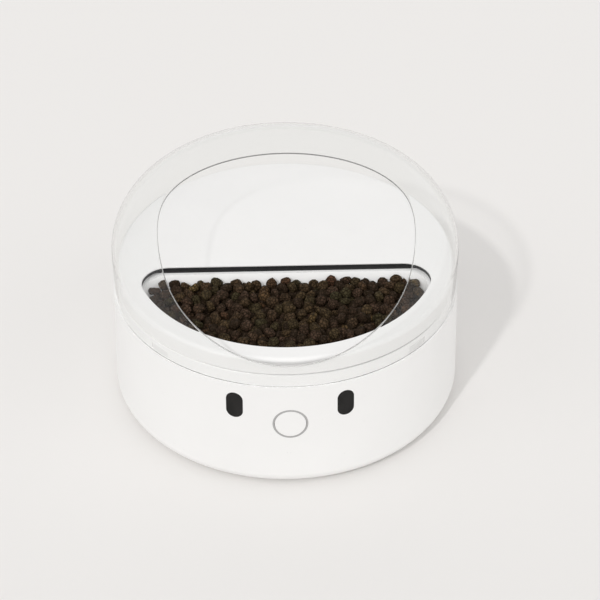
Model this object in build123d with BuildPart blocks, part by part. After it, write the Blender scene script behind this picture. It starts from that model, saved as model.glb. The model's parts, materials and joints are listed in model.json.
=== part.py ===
from build123d import *
from math import acos, atan2, cos, degrees, hypot, pi, radians, sin, sqrt, tan
import os

# A round pet feeder that opens for one pet. A white base with a small face carries a lift-out tray:
# a deck with a half-moon opening, a bowl hung under it, and a half-disc shutter that swings out from
# under the back of the deck and over the food. A clear dome with an egg-shaped mouth covers the tray.
#
# Millimetres. The origin is on the floor under the upright axis, +Z is up and the face looks to -Y.

# Clearances
seat_gap = 0.3          # between pieces that lift or slide apart
running_fit = 0.05      # on the radius of a shaft in its bush
glued_fit = 0.05        # round a piece that is set in a hole

# Base shell
base_radius = 140.0     # at the top of the bottom rounding
seam_lean = 4.0         # the wall leans in this much up to the seam under the dome
seam_height = 95.8
bottom_round = 10.0
shell_wall = 3.0
foot_height = 3.0       # the shell's lower edge stands this high
step_width = 3.1        # inner step that the upper housing rests on
lip_width = 8.0         # lower lip that the bottom cover clamps
lip_thickness = 3.0

# Bottom cover and feet
cover_inset = 2.3       # from the bottom rounding to the cover's edge
cover_thickness = 3.0
foot_radius = 10.0
foot_pocket = 1.2
foot_inset = 23.05      # from the cover's edge to the feet's middles

# Upper housing: flange, neck, inner deck and the well for the bowl
neck_gap = 0.5          # between the neck and the dome
neck_rise = 9.9         # above the seam
neck_wall = 3.0
edge_break = 0.5        # chamfer on both sides of the seam between neck and deck
flange_thickness = 3.0
inner_deck_thickness = 2.5
well_clearance = 1.5
well_wall = 2.5
well_depth = 29.3       # of the well's inner floor under the seam
post_radius = 4.5
post_angles = [7.63, 54.93, 125.07, 172.37]     # of the posts round the outside, from +X
post_insets = [14.7, 12.85, 12.85, 14.7]        # from the cover's edge to each of them
well_post_angles = [215.54, 270, 324.46]        # of the posts under the well
well_post_insets = [31.98, 18, 31.98]           # from the opening's edge to each of them

# Tray deck
deck_inset = 0.4        # of the skirt behind the neck
deck_rise = 14.1        # of the deck's top above the neck
deck_plate = 3.0
deck_edge_round = 3.0
skirt_wall = 3.0
skirt_step = 2.0        # the skirt is this much thicker above the bowl's rim
opening_inset = 14.0    # from the deck's edge to the opening's round edge
opening_back = -18.0    # Y of the opening's straight edge
opening_corner = 20.0
deck_lip = 1.0          # thickness of the deck over the seal
lug_width = 12.0
lug_reach = 1.5
lug_root = 0.1              # of the lugs inside the skirt's wall
lug_angles = [-65, -22, 22, 65]

# Seal round the opening
seal_width = 4.0
seal_height = 2.6

# Shutter
shutter_overlap = 7.0       # past the opening's round edge
shutter_thickness = 2.0
shutter_back_reach = 15.5   # the plate reaches this far past the axis
wiper_width = 2.2
pivot_radius = 4.0
washer_radius = 7.0
washer_thickness = 0.8
washer_play = 0.1
pivot_screw_bite = 1.5      # of the screw's pilot hole into the deck's plate
pivot_play = 0.2
shaft_flange_radius = 14.0
shaft_flange_thickness = 2.0
shaft_cup_radius = 9.8
shaft_cup_bore = 7.6
shaft_cup_depth = 3.6
shaft_cup_floor = 2.3
shaft_radius = 7.0
shaft_hex = 9.0         # across flats
shaft_bite = 4.5            # the shaft ends this far above the drive gear's underside
shaft_stand = 0.8           # of the round shaft's end above the hub
shaft_chamfer = 0.6
hub_screw_circle = 12.0
hub_screw_skin = 0.5        # of the shutter over the screws' ends

# Bowl and its load
bowl_stand = 3.5        # of the bowl's underside above the well's floor
bowl_wall = 2.0
bowl_draft = 12.0       # the wall leans in this much from rim to floor
bowl_round = 7.0
bowl_flange = 2.0
bowl_back_flange = 2.0

# Dry food: a bed with a layer of round pellets
food_depth = 11.1       # from the bowl's rim down to the middle of the top pellets
bed_depth = 11.6        # from the bowl's rim down to the bed's top
pellet_radius = 4.6
pellet_spacing = 9.3
pellet_shift = 2.0      # how far chance moves a pellet in its layer
pellet_rise = 1.2       # and how far up or down
pellet_rounds = 30      # steps that ease the pellets apart

# Dome
dome_inset = 1.1        # of the dome's wall behind the seam
dome_wall = 2.0
dome_rise = 63.0        # of the dome's top above the deck
dome_corner = 49.8
dome_corner_rise = 9.2  # of the corner's start above the deck
mouth_tilt = 50.0       # how far above level the mouth faces
# The mouth's outline on the tilted plane, across and up from the middle of the deck, in dome radii
mouth_bottom = -0.7806
mouth_side = [(0.5797, -0.4552), (0.6916, -0.1157), (0.679, 0.189)]
mouth_top = 0.5552

# Grip pads that steady the dome on the neck
pad_width = 16.0
pad_height = 5.0
pad_rise = 3.2          # of the pads' middles above the seam
pad_depth = 1.4
pad_stand = 0.2
pad_slack = 1.6
pad_angles = [-45.5, 45.5, 134.5, 225.5]

# Face: two windows and a ring-lit button
window_width = 12.8
window_height = 22.6
window_drop = 19.0      # from the seam to the windows' middles
window_angle = 17.3
button_drop = 13.9      # from the windows' middles to the button's
button_ring_radius = 13.1
button_ring_width = 1.3
button_play = 0.3
button_cap_depth = 2.2
button_flange_radius = 12.2
button_flange_thickness = 1.2
button_flange_gap = 0.8     # between the flange and the wall's inside
button_travel = 0.8
button_stem_radius = 4.0

# Circuit boards
board_thickness = 1.6
board_boss_radius = 3.0
board_edge = 5.0            # from the main board's edges to its screws
screw_play = 0.2            # round a screw that passes through a hole
front_board_size = (42.0, 28.0)
front_screw_reach = 17.0    # of the screws from the board's middle
front_board_depth = 12.19   # of the board's back behind the wall's outside
tact_size = (6.0, 3.6)
tact_plunger_radius = 1.7
tact_plunger_length = 2.5
lamp_size = (2.0, 1.0)
sensor_board_size = (24.0, 20.0)
sensor_screw_reach = 9.5
sensor_boss_radius = 2.0
sensor_board_depth = 10.92
sensor_size = (8.0, 12.0, 5.0)
main_board_size = (92.0, 46.0)
main_board_corner = 2.0
main_board_standoff = 4.0
# Parts on the main board: middle along X and Y from the board's, width, depth and height
main_board_parts = [
    (-12, 4, 10, 10, 1.2),      # processor
    (14, 6, 16, 12, 2.4),       # radio module
    (-30, -8, 7, 7, 1.0),       # aerial reader
    (30, -10, 12, 5, 6.0),      # motor connector
    (6, -14, 14, 5, 6.0),       # face board connector
]
capacitor_spots = [(-34, 9), (-24, 12)]
capacitor_radius = 3.0
capacitor_height = 8.0

# Aerial that reads the pet's chip
aerial_inset = 3.7      # from the upper housing's flange
aerial_width = 4.0
aerial_height = 3.2

# Drive
gear_module = 1.0
gear_teeth = 24
pinion_teeth = 14
gear_addendum = 0.8
gear_dedendum = 1.1
gear_backlash = 0.2
gear_face = 8.0
gear_drop = 13.8        # of the gears' underside under the seam
pressure_angle = radians(25)
mesh_slack = 0.1
gear_hub_radius = 8.0
gear_hub_stand = 1.9    # of the hub above the inner deck
gear_shoulder_radius = 7.0
gear_shoulder_height = 1.7
gear_stub_radius = 4.0
gear_stub_length = 3.5
hex_room = 1.0              # under the shaft's end in the gear
bush_wall = 2.0
bush_gap = 1.2              # between the gear and the bush
bush_flange = 1.0
bush_flange_radius = 12.4
bracket_thickness = 2.0
bracket_half_width = 28.0
bracket_front = -12.0
bracket_back = 40.0
bracket_corner = 3.0
bracket_boss_radius = 3.5
bracket_spots = [(-23, -7), (23, -7), (-23, 34), (23, 34)]
gearbox_radius = 12.5
gearbox_length = 24.0
motor_radius = 11.8
motor_length = 32.0
motor_round = 1.5
motor_cap_height = 2.0
terminal_size = (2.4, 0.6, 3.0)
terminal_reach = 8.85       # from the motor's axis
motor_shaft_radius = 2.0
motor_bore_depth = 12.0
motor_shaft_stand = 0.5     # of the shaft's end above the pinion
motor_screw_reach = 8.5
switch_size = (12.8, 6.5, 5.8)
switch_spot = (-20.5, 8.0)
switch_lever = (0.8, 2.0, 2.0)
switch_lever_rise = 1.0

# Battery bay: four C cells in two rows
cell_radius = 13.1
cell_length = 50.0
cell_nub_radius = 3.0
cell_nub_length = 1.5
bay_share = 0.36        # the bay's middle lies this share of the cover's radius
bay_lead = 20.0         # and this much more behind the axis
bay_wall = 2.0
bay_end_room = 4.0
cell_side_room = 0.3
rail_width = 4.0
rail_height = 5.0
door_thickness = 2.0
door_recess = 0.2
door_travel = 6.0
ridge_count = 5         # finger ridges along the door's back edge
ridge_size = (30.0, 1.2, 0.6)
ridge_pitch = 3.0
ridge_start = 4.0
tongue_width = 1.6
tongue_thickness = 1.0
tongue_play = 0.2
contact_thickness = 0.5
contact_size = 12.0
spring_wire = 0.45
spring_radius = 4.0
spring_turns = 2
spring_gap = 0.1        # at each end of a spring

# Power socket in the back wall
socket_width = 9.0
socket_height = 3.2
socket_length = 7.4
socket_wall = 0.4
socket_floor = 1.0
socket_tongue = (0.75, 0.22)    # shares of the socket's width and height
socket_level = 20.0
socket_recess = 2.0
socket_hole_play = 0.3
power_board_size = (20.0, 24.0)
power_board_edge = 4.0      # from the board's front edge to its screws
power_board_stop = 4.0      # the board stops this far short of its full depth
power_boss_reach = 6.5
power_boss_inset = 12.7     # from the cover's edge
power_boss_radius = 2.6

# Screws
cover_screw = dict(head=2.9, head_height=1.6, shank=1.4, length=14.0)
bracket_screw = dict(head=2.6, head_height=1.5, shank=1.2, length=9.0)
motor_screw = dict(head=2.4, head_height=1.5, shank=1.2, length=6.0)
pivot_screw_size = dict(head=3.4, head_height=1.9, shank=1.4, length=5.2)
hub_screw = dict(head=1.7, head_height=1.1, shank=0.9, length=3.4)
board_screw = dict(head=1.8, head_height=1.2, shank=0.9, length=5.0)
screw_cross = (0.35, 0.6)   # width and depth of the cross in a screw's head, as shares of its radius
pilot_fit = 0.05

# Levels and radii that follow
seam_radius = base_radius - seam_lean
cover_radius = base_radius - bottom_round - cover_inset
bay_middle = bay_share * cover_radius + bay_lead
foot_spread = (cover_radius - foot_inset) * cos(radians(45))
dome_radius = seam_radius - dome_inset
neck_radius = dome_radius - dome_wall - neck_gap
deck_radius = neck_radius - deck_inset
opening_radius = deck_radius - opening_inset
shutter_radius = opening_radius + shutter_overlap
neck_height = seam_height + neck_rise
deck_top = neck_height + deck_rise
dome_top = deck_top + dome_rise
dome_corner_level = deck_top + dome_corner_rise
well_floor = seam_height - well_depth
bowl_floor = well_floor + bowl_stand
pad_level = seam_height + pad_rise
window_level = seam_height - window_drop
button_level = window_level - button_drop
gear_level = seam_height - gear_drop
shaft_end = gear_level + shaft_bite
shell_bottom = foot_height
cover_top = shell_bottom + cover_thickness
round_top = shell_bottom + bottom_round
inner_round = bottom_round - shell_wall
wall_slope = (base_radius - seam_radius) / (seam_height - round_top)
flange_bottom = seam_height - flange_thickness
flange_radius = seam_radius - shell_wall - seat_gap
neck_inner = neck_radius - neck_wall
inner_deck_top = flange_bottom + inner_deck_thickness
gear_hub_top = inner_deck_top + gear_hub_stand
aerial_radius = flange_radius - aerial_inset - aerial_width
deck_under = deck_top - deck_plate
skirt_bottom = neck_height + seat_gap
skirt_inner = deck_radius - skirt_wall
seal_top = deck_top - deck_lip
seal_bottom = seal_top - seal_height
shutter_top = seal_bottom - seat_gap
shutter_bottom = shutter_top - shutter_thickness
bowl_rim = shutter_bottom - seat_gap
bowl_flange_bottom = bowl_rim - bowl_flange
food_level = bowl_rim - food_depth
bed_level = bowl_rim - bed_depth
pivot_end = shutter_bottom - pivot_play
well_outer_floor = well_floor - well_wall
bracket_top = gear_level - gear_shoulder_height - seat_gap
bracket_bottom = bracket_top - bracket_thickness
gear_top = gear_level + gear_face
motor_spot = (0, gear_module * (gear_teeth + pinion_teeth) / 2 + mesh_slack)
door_top = shell_bottom + door_recess + door_thickness
cell_level = door_top + seat_gap + cell_radius
bay_half_x = cell_length + bay_end_room
bay_half_y = 2 * cell_radius + 1.5 * cell_side_room
bay_top = cell_level + cell_radius + cell_side_room
row_reach = cell_radius + cell_side_room / 2
cell_rows = [bay_middle - row_reach, bay_middle + row_reach]
main_board_level = bay_top + bay_wall + main_board_standoff
power_board_level = socket_level - socket_height / 2 - board_thickness
dome_bottom = seam_height + seat_gap


def wall_radius(level):
    """Outer radius of the leaning base wall at a level."""
    return base_radius - wall_slope * (level - round_top)


front_board_reach = wall_radius(button_level) - front_board_depth
sensor_board_reach = wall_radius(window_level) - sensor_board_depth


def ring_spots(radius, insets, angles):
    """Spots round the axis, each at its angle from +X and its inset from a radius."""
    spots = []
    for inset, angle in zip(insets, angles):
        spots.append(((radius - inset) * cos(radians(angle)), (radius - inset) * sin(radians(angle))))
    return spots


outer_posts = ring_spots(cover_radius, post_insets, post_angles)
well_posts = ring_spots(opening_radius, well_post_insets, well_post_angles)
post_spots = outer_posts + well_posts
power_boss_y = cover_radius - power_boss_inset
power_boss_spots = [(-power_boss_reach, power_boss_y), (power_boss_reach, power_boss_y)]


def face_plane(angle, level):
    """Upright plane through the axis that looks outwards, at an angle from the front."""
    turn = radians(angle)
    across = (cos(turn), sin(turn), 0)
    return Plane(origin=(0, 0, level), x_dir=across, z_dir=(sin(turn), -cos(turn), 0))


def add_half_moon(outline, inset):
    """The half-moon of the opening, drawn inset by a distance, in the sketch that is open."""
    radius = opening_radius - inset
    Circle(radius)
    with Locations((0, opening_back - inset)):
        Rectangle(2 * radius, 2 * radius, align=(Align.CENTER, Align.MAX), mode=Mode.INTERSECT)
    fillet(outline.vertices(), opening_corner - inset)


def bowl_inset(level):
    """How far the bowl's outside leans in from the opening at a level."""
    return bowl_draft * (bowl_rim - level) / (bowl_rim - bowl_floor)


def add_wall_ring(depth):
    """A skin of the base wall, this deep, in the part that is open."""
    with BuildSketch(Plane.XZ) as section:
        with BuildLine():
            Polyline(
                (wall_radius(round_top), round_top),
                (wall_radius(seam_height), seam_height),
                (wall_radius(seam_height) - depth, seam_height),
                (wall_radius(round_top) - depth, round_top),
                close=True,
            )
        make_face()
    revolve(section.sketch, axis=Axis.Z)


def add_screws(planes, size):
    """Pan-head screws, head outwards along each plane's normal from its origin, in the open part."""
    cross_width = screw_cross[0] * size["head"]
    cross_depth = screw_cross[1] * size["head_height"]
    for plane in planes:
        with BuildSketch(plane) as head:
            Circle(size["head"])
        extrude(head.sketch, amount=size["head_height"])
        with BuildSketch(plane.offset(size["head_height"] - cross_depth)) as cross:
            Rectangle(1.4 * size["head"], cross_width)
            Rectangle(cross_width, 1.4 * size["head"])
        extrude(cross.sketch, amount=cross_depth, mode=Mode.SUBTRACT)
        with BuildSketch(plane) as shank:
            Circle(size["shank"])
        extrude(shank.sketch, amount=-size["length"])


def upward(spots, level):
    """Planes at the spots and the level, looking up."""
    return [Plane(origin=(x, y, level), z_dir=(0, 0, 1)) for x, y in spots]


def downward(spots, level):
    """Planes at the spots and the level, looking down."""
    return [Plane(origin=(x, y, level), z_dir=(0, 0, -1)) for x, y in spots]


def add_pillars(spots, radius, low, high, mode=Mode.ADD):
    """Upright round pillars or holes between two levels, in the open part."""
    with BuildSketch(Plane.XY.offset(low)) as outline:
        with Locations(*spots):
            Circle(radius)
    extrude(outline.sketch, amount=high - low, mode=mode)


def add_block(x_range, y_range, z_range, mode=Mode.ADD):
    """An upright block between limits along each axis, in the open part."""
    with BuildSketch(Plane.XY.offset(z_range[0])) as outline:
        with Locations(((x_range[0] + x_range[1]) / 2, (y_range[0] + y_range[1]) / 2)):
            Rectangle(x_range[1] - x_range[0], y_range[1] - y_range[0])
    extrude(outline.sketch, amount=z_range[1] - z_range[0], mode=mode)


def gear_points(teeth, first_tooth):
    """Rim of a spur gear with involute flanks; first_tooth is the direction of one tooth."""
    pitch_radius = gear_module * teeth / 2
    involute_radius = pitch_radius * cos(pressure_angle)
    tip_radius = pitch_radius + gear_addendum * gear_module
    root_radius = pitch_radius - gear_dedendum * gear_module
    start_radius = max(involute_radius, root_radius)
    half_tooth = pi / (2 * teeth) - gear_backlash / (2 * pitch_radius)
    flank = []
    for share in (0, 0.25, 0.5, 0.75, 1):
        radius = start_radius + share * (tip_radius - start_radius)
        rolled = acos(involute_radius / radius)
        flank.append((radius, half_tooth + tan(pressure_angle) - pressure_angle - tan(rolled) + rolled))
    if root_radius < start_radius:
        flank.insert(0, (root_radius, flank[0][1]))
    points = []
    for tooth in range(teeth):
        middle = first_tooth + 2 * pi * tooth / teeth
        for radius, angle in flank:
            points.append((radius * cos(middle - angle), radius * sin(middle - angle)))
        for radius, angle in reversed(flank):
            points.append((radius * cos(middle + angle), radius * sin(middle + angle)))
    return points


os.makedirs("parts", exist_ok=True)

# Base shell: a leaning wall with a rounded foot, a lip for the cover and a step for the housing
front = face_plane(0, button_level)
front_board_spots = [(-front_screw_reach, 0), (front_screw_reach, 0)]
sensor_board_spots = [(-sensor_screw_reach, 0), (sensor_screw_reach, 0)]
front_board_front = front_board_reach + board_thickness
sensor_board_front = sensor_board_reach + board_thickness

with BuildPart() as base_shell:
    with BuildSketch(Plane.XZ):
        with BuildLine():
            lip_inner = base_radius - bottom_round - lip_width
            step_inner = flange_radius + seat_gap - step_width
            step_bottom = flange_bottom - flange_thickness
            Line((cover_radius + seat_gap, shell_bottom), (base_radius - bottom_round, shell_bottom))
            RadiusArc(
                (base_radius - bottom_round, shell_bottom), (base_radius, round_top), -bottom_round
            )
            Polyline(
                (base_radius, round_top),
                (seam_radius, seam_height),
                (seam_radius - shell_wall, seam_height),
                (seam_radius - shell_wall, flange_bottom),
                (step_inner, flange_bottom),
                (step_inner, step_bottom),
                (wall_radius(step_bottom) - shell_wall, step_bottom),
                (base_radius - shell_wall, round_top),
            )
            RadiusArc(
                (base_radius - shell_wall, round_top),
                (base_radius - shell_wall - inner_round + lip_thickness, cover_top + lip_thickness),
                inner_round - lip_thickness,
            )
            Polyline(
                (base_radius - shell_wall - inner_round + lip_thickness, cover_top + lip_thickness),
                (lip_inner, cover_top + lip_thickness),
                (lip_inner, cover_top),
                (cover_radius + seat_gap, cover_top),
                (cover_radius + seat_gap, shell_bottom),
            )
        make_face()
    revolve(axis=Axis.Z)
    # bosses for the boards behind the face
    with BuildSketch(front.offset(front_board_front)):
        with Locations(*front_board_spots):
            Circle(board_boss_radius)
    boss_reach = sqrt(wall_radius(button_level) ** 2 - front_screw_reach**2)
    extrude(amount=boss_reach - front_board_front - shell_wall / 2)
    for side in (-1, 1):
        with BuildSketch(face_plane(side * window_angle, window_level).offset(sensor_board_front)):
            with Locations(*sensor_board_spots):
                Circle(sensor_boss_radius)
        extrude(amount=wall_radius(window_level) - sensor_board_front - shell_wall / 2)
    # holes for the windows, the button and the power socket
    for side in (-1, 1):
        with BuildSketch(face_plane(side * window_angle, window_level).offset(sensor_board_front)):
            SlotOverall(window_height + 2 * glued_fit, window_width + 2 * glued_fit, rotation=90)
        extrude(amount=base_radius, mode=Mode.SUBTRACT)
    with BuildSketch(front.offset(wall_radius(button_level) - 2 * shell_wall)):
        Circle(button_ring_radius + glued_fit)
    extrude(amount=base_radius, mode=Mode.SUBTRACT)
    with BuildSketch(face_plane(180, socket_level).offset(base_radius - 2 * shell_wall)):
        SlotOverall(socket_width + 2 * socket_hole_play, socket_height + 2 * socket_hole_play)
    extrude(amount=base_radius, mode=Mode.SUBTRACT)
    # pilot holes for the board screws
    with BuildSketch(front.offset(front_board_front)):
        with Locations(*front_board_spots):
            Circle(board_screw["shank"] + pilot_fit)
    extrude(amount=board_screw["length"] - board_thickness + seat_gap, mode=Mode.SUBTRACT)
    for side in (-1, 1):
        with BuildSketch(face_plane(side * window_angle, window_level).offset(sensor_board_front)):
            with Locations(*sensor_board_spots):
                Circle(board_screw["shank"] + pilot_fit)
        extrude(amount=board_screw["length"] - board_thickness + seat_gap, mode=Mode.SUBTRACT)
base_shell.part.label = "base_shell"
export_step(base_shell.part, "parts/base_shell.step")

# Bottom cover: a disc under the lip, with the battery bay and its rails built up on it
bay_front = bay_middle - bay_half_y
bay_back = bay_middle + bay_half_y
recess_back = bay_back + bay_wall + door_travel
feet_spots = [(-foot_spread, -foot_spread), (foot_spread, -foot_spread)]
feet_spots += [(-foot_spread, foot_spread), (foot_spread, foot_spread)]
tongue_bottom = door_top - tongue_thickness
bay_outer_x = bay_half_x + bay_wall

with BuildPart() as bottom_cover:
    add_pillars([(0, 0)], cover_radius, shell_bottom, cover_top)
    # battery bay: walls, roof, rails and the closed end of the door's recess
    add_block(
        (-bay_outer_x, bay_outer_x),
        (bay_front - bay_wall, bay_back + bay_wall),
        (cover_top, bay_top + bay_wall),
    )
    add_block(
        (-bay_half_x - rail_width, bay_half_x + rail_width),
        (bay_front - bay_wall, recess_back + bay_wall),
        (cover_top, shell_bottom + rail_height),
    )
    add_block((-bay_half_x, bay_half_x), (bay_front, bay_back), (shell_bottom, bay_top), Mode.SUBTRACT)
    add_block(
        (-bay_half_x, bay_half_x),
        (bay_front, recess_back),
        (shell_bottom, door_top + tongue_play),
        Mode.SUBTRACT,
    )
    add_block(
        (-bay_half_x - tongue_width - seat_gap, bay_half_x + tongue_width + seat_gap),
        (bay_front, recess_back),
        (tongue_bottom - tongue_play, door_top + tongue_play),
        Mode.SUBTRACT,
    )
    # standoffs for the main board and the power board
    main_x = main_board_size[0] / 2 - board_edge
    main_y = main_board_size[1] / 2 - board_edge
    main_spots = [(x * main_x, bay_middle + y * main_y) for x in (-1, 1) for y in (-1, 1)]
    add_pillars(main_spots, board_boss_radius, bay_top + bay_wall, main_board_level)
    add_pillars(power_boss_spots, power_boss_radius, cover_top, power_board_level)
    # pockets for the feet, then holes and recesses for the screws
    add_pillars(feet_spots, foot_radius + glued_fit, shell_bottom, shell_bottom + foot_pocket, Mode.SUBTRACT)
    with Locations(*downward(post_spots, shell_bottom)):
        CounterBoreHole(
            cover_screw["shank"] + seat_gap,
            cover_screw["head"] + seat_gap,
            cover_screw["head_height"] + screw_play,
            cover_thickness,
        )
    pilot = board_screw["shank"] + pilot_fit
    pilot_depth = board_screw["length"] - board_thickness + seat_gap
    add_pillars(main_spots, pilot, main_board_level - pilot_depth, main_board_level, Mode.SUBTRACT)
    add_pillars(power_boss_spots, pilot, power_board_level - pilot_depth, power_board_level, Mode.SUBTRACT)
bottom_cover.part.label = "bottom_cover"
export_step(bottom_cover.part, "parts/bottom_cover.step")

with BuildPart() as rubber_feet:
    add_pillars(feet_spots, foot_radius, 0, shell_bottom + foot_pocket)
    fillet(rubber_feet.edges().group_by(Axis.Z)[0], 1)
rubber_feet.part.label = "rubber_feet"
export_step(rubber_feet.part, "parts/rubber_feet.step")

with BuildPart() as cover_screws:
    add_screws(downward(post_spots, shell_bottom + cover_screw["head_height"] + screw_play), cover_screw)
cover_screws.part.label = "cover_screws"
export_step(cover_screws.part, "parts/cover_screws.step")

# Battery door: slides back along its rails to come free
with BuildPart() as battery_door:
    door_front = bay_front + seat_gap
    door_back = bay_back + bay_wall - seat_gap
    door_bottom = shell_bottom + door_recess
    add_block(
        (-bay_half_x + seat_gap, bay_half_x - seat_gap),
        (door_front, door_back),
        (door_bottom, door_top),
    )
    add_block(
        (-bay_half_x - tongue_width, bay_half_x + tongue_width),
        (door_front, door_back),
        (tongue_bottom, door_top),
    )
    # finger ridges along the back edge
    length, width, depth = ridge_size
    for step in range(ridge_count):
        ridge = door_back - ridge_start - ridge_pitch * step
        add_block(
            (-length / 2, length / 2),
            (ridge - width / 2, ridge + width / 2),
            (door_bottom, door_bottom + depth),
            Mode.SUBTRACT,
        )
battery_door.part.label = "battery_door"
export_step(battery_door.part, "parts/battery_door.step")

# Four C cells, two in each row, end to end along X with their nubs towards +X
with BuildPart() as batteries:
    for row in cell_rows:
        for start in (-cell_length, 0):
            with BuildSketch(Plane(origin=(start, row, cell_level), z_dir=(1, 0, 0))):
                Circle(cell_radius)
            extrude(amount=cell_length - cell_nub_length - seat_gap)
            with BuildSketch(Plane(origin=(start, row, cell_level), z_dir=(1, 0, 0))):
                Circle(cell_nub_radius)
            extrude(amount=cell_length - seat_gap)
batteries.part.label = "batteries"
export_step(batteries.part, "parts/batteries.step")

# Contacts: a plate on each end wall of the bay, a coil spring on the plates behind the cells
with BuildPart() as battery_contacts:
    for row in cell_rows:
        for side in (-1, 1):
            inner = side * (bay_half_x - contact_thickness)
            add_block(
                (min(inner, side * bay_half_x), max(inner, side * bay_half_x)),
                (row - contact_size / 2, row + contact_size / 2),
                (cell_level - contact_size / 2, cell_level + contact_size / 2),
            )
        nub_start = (bay_half_x - contact_thickness, row, cell_level)
        with BuildSketch(Plane(origin=nub_start, z_dir=(-1, 0, 0))):
            Circle(cell_nub_radius)
        extrude(amount=bay_end_room - contact_thickness - spring_gap)
battery_contacts.part.label = "battery_contacts"
export_step(battery_contacts.part, "parts/battery_contacts.step")

spring_length = bay_end_room - contact_thickness - 2 * spring_wire - 2 * spring_gap
spring_x = -bay_half_x + contact_thickness + spring_wire + spring_gap
with BuildPart() as battery_springs:
    for row in cell_rows:
        spring_start = Plane(origin=(spring_x, row, cell_level), z_dir=(1, 0, 0))
        coil = spring_start * Helix(spring_length / spring_turns, spring_length, spring_radius)
        with BuildSketch(Plane(origin=coil @ 0, z_dir=coil % 0)):
            Circle(spring_wire)
        sweep(path=coil, is_frenet=True)
battery_springs.part.label = "battery_springs"
export_step(battery_springs.part, "parts/battery_springs.step")

# Upper housing: flange on the shell's step, neck, inner deck, and the well that the bowl hangs in
with BuildPart() as upper_housing:
    with BuildSketch(Plane.XZ):
        with BuildLine():
            Polyline(
                (0, flange_bottom),
                (flange_radius, flange_bottom),
                (flange_radius, seam_height),
                (neck_radius, seam_height),
                (neck_radius, neck_height - edge_break),
                (neck_radius - edge_break, neck_height),
                (neck_inner, neck_height),
                (neck_inner, inner_deck_top),
                (0, inner_deck_top),
                close=True,
            )
        make_face()
    revolve(axis=Axis.Z)
    with BuildSketch(Plane.XY.offset(well_outer_floor)) as well_outside:
        add_half_moon(well_outside, -well_clearance - well_wall)
    extrude(amount=flange_bottom - well_outer_floor)
    # posts that the cover's screws pull down, and bosses for the drive bracket
    add_pillars(outer_posts, post_radius, cover_top, flange_bottom)
    add_pillars(well_posts, post_radius, cover_top, well_outer_floor)
    add_pillars(bracket_spots, bracket_boss_radius, bracket_top, flange_bottom)
    with BuildSketch(Plane.XY.offset(well_floor)) as well_inside:
        add_half_moon(well_inside, -well_clearance)
    extrude(amount=neck_height - well_floor, mode=Mode.SUBTRACT)
    # bush hole, screw holes
    bush_hole = gear_hub_radius + bush_wall + glued_fit
    add_pillars([(0, 0)], bush_hole, flange_bottom, inner_deck_top, Mode.SUBTRACT)
    pilot = cover_screw["shank"] + pilot_fit
    add_pillars(post_spots, pilot, cover_top, cover_top + cover_screw["length"], Mode.SUBTRACT)
    pilot = bracket_screw["shank"] + pilot_fit
    add_pillars(bracket_spots, pilot, bracket_top, bracket_top + bracket_screw["length"], Mode.SUBTRACT)
    # shallow pockets for the grip pads, a little longer than the pads
    for angle in pad_angles:
        with BuildSketch(face_plane(angle, pad_level).offset(neck_radius - pad_depth)):
            outer_side = 1 if sin(radians(angle)) > 0 else -1
            with Locations((outer_side * pad_slack / 2, 0)):
                Rectangle(pad_width + pad_slack, pad_height + 2 * glued_fit)
        extrude(amount=2 * pad_depth + pad_width, mode=Mode.SUBTRACT)
upper_housing.part.label = "upper_housing"
export_step(upper_housing.part, "parts/upper_housing.step")

# Grip pads: curved to stand just proud of the neck, clear of the dome
with BuildPart() as dome_grip_pads:
    for angle in pad_angles:
        with BuildSketch(face_plane(angle, pad_level).offset(neck_radius - pad_depth)):
            Rectangle(pad_width, pad_height)
        extrude(amount=2 * pad_depth + pad_width)
    add_pillars([(0, 0)], neck_radius + pad_stand, shell_bottom, dome_top, Mode.INTERSECT)
dome_grip_pads.part.label = "dome_grip_pads"
export_step(dome_grip_pads.part, "parts/dome_grip_pads.step")

# Aerial coil, bonded under the upper housing's flange round the well
with BuildPart() as aerial_coil:
    add_pillars([(0, 0)], aerial_radius + aerial_width, flange_bottom - aerial_height, flange_bottom)
    add_pillars([(0, 0)], aerial_radius, flange_bottom - aerial_height, flange_bottom, Mode.SUBTRACT)
aerial_coil.part.label = "aerial_coil"
export_step(aerial_coil.part, "parts/aerial_coil.step")


def make_window(side):
    """Dark window, flush with the wall, over a sensor."""
    with BuildPart() as window:
        add_wall_ring(shell_wall)
        with BuildSketch(face_plane(side * window_angle, window_level).offset(base_radius / 2)):
            SlotOverall(window_height, window_width, rotation=90)
        extrude(amount=base_radius, mode=Mode.INTERSECT)
    return window


left_sensor_window = make_window(-1)
left_sensor_window.part.label = "left_sensor_window"
export_step(left_sensor_window.part, "parts/left_sensor_window.step")
right_sensor_window = make_window(1)
right_sensor_window.part.label = "right_sensor_window"
export_step(right_sensor_window.part, "parts/right_sensor_window.step")

# Ring of frosted plastic that lights up round the button
with BuildPart() as button_light_ring:
    add_wall_ring(shell_wall)
    with BuildSketch(front.offset(base_radius / 2)):
        Circle(button_ring_radius)
        Circle(button_ring_radius - button_ring_width, mode=Mode.SUBTRACT)
    extrude(amount=base_radius, mode=Mode.INTERSECT)
button_light_ring.part.label = "button_light_ring"
export_step(button_light_ring.part, "parts/button_light_ring.step")

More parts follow.
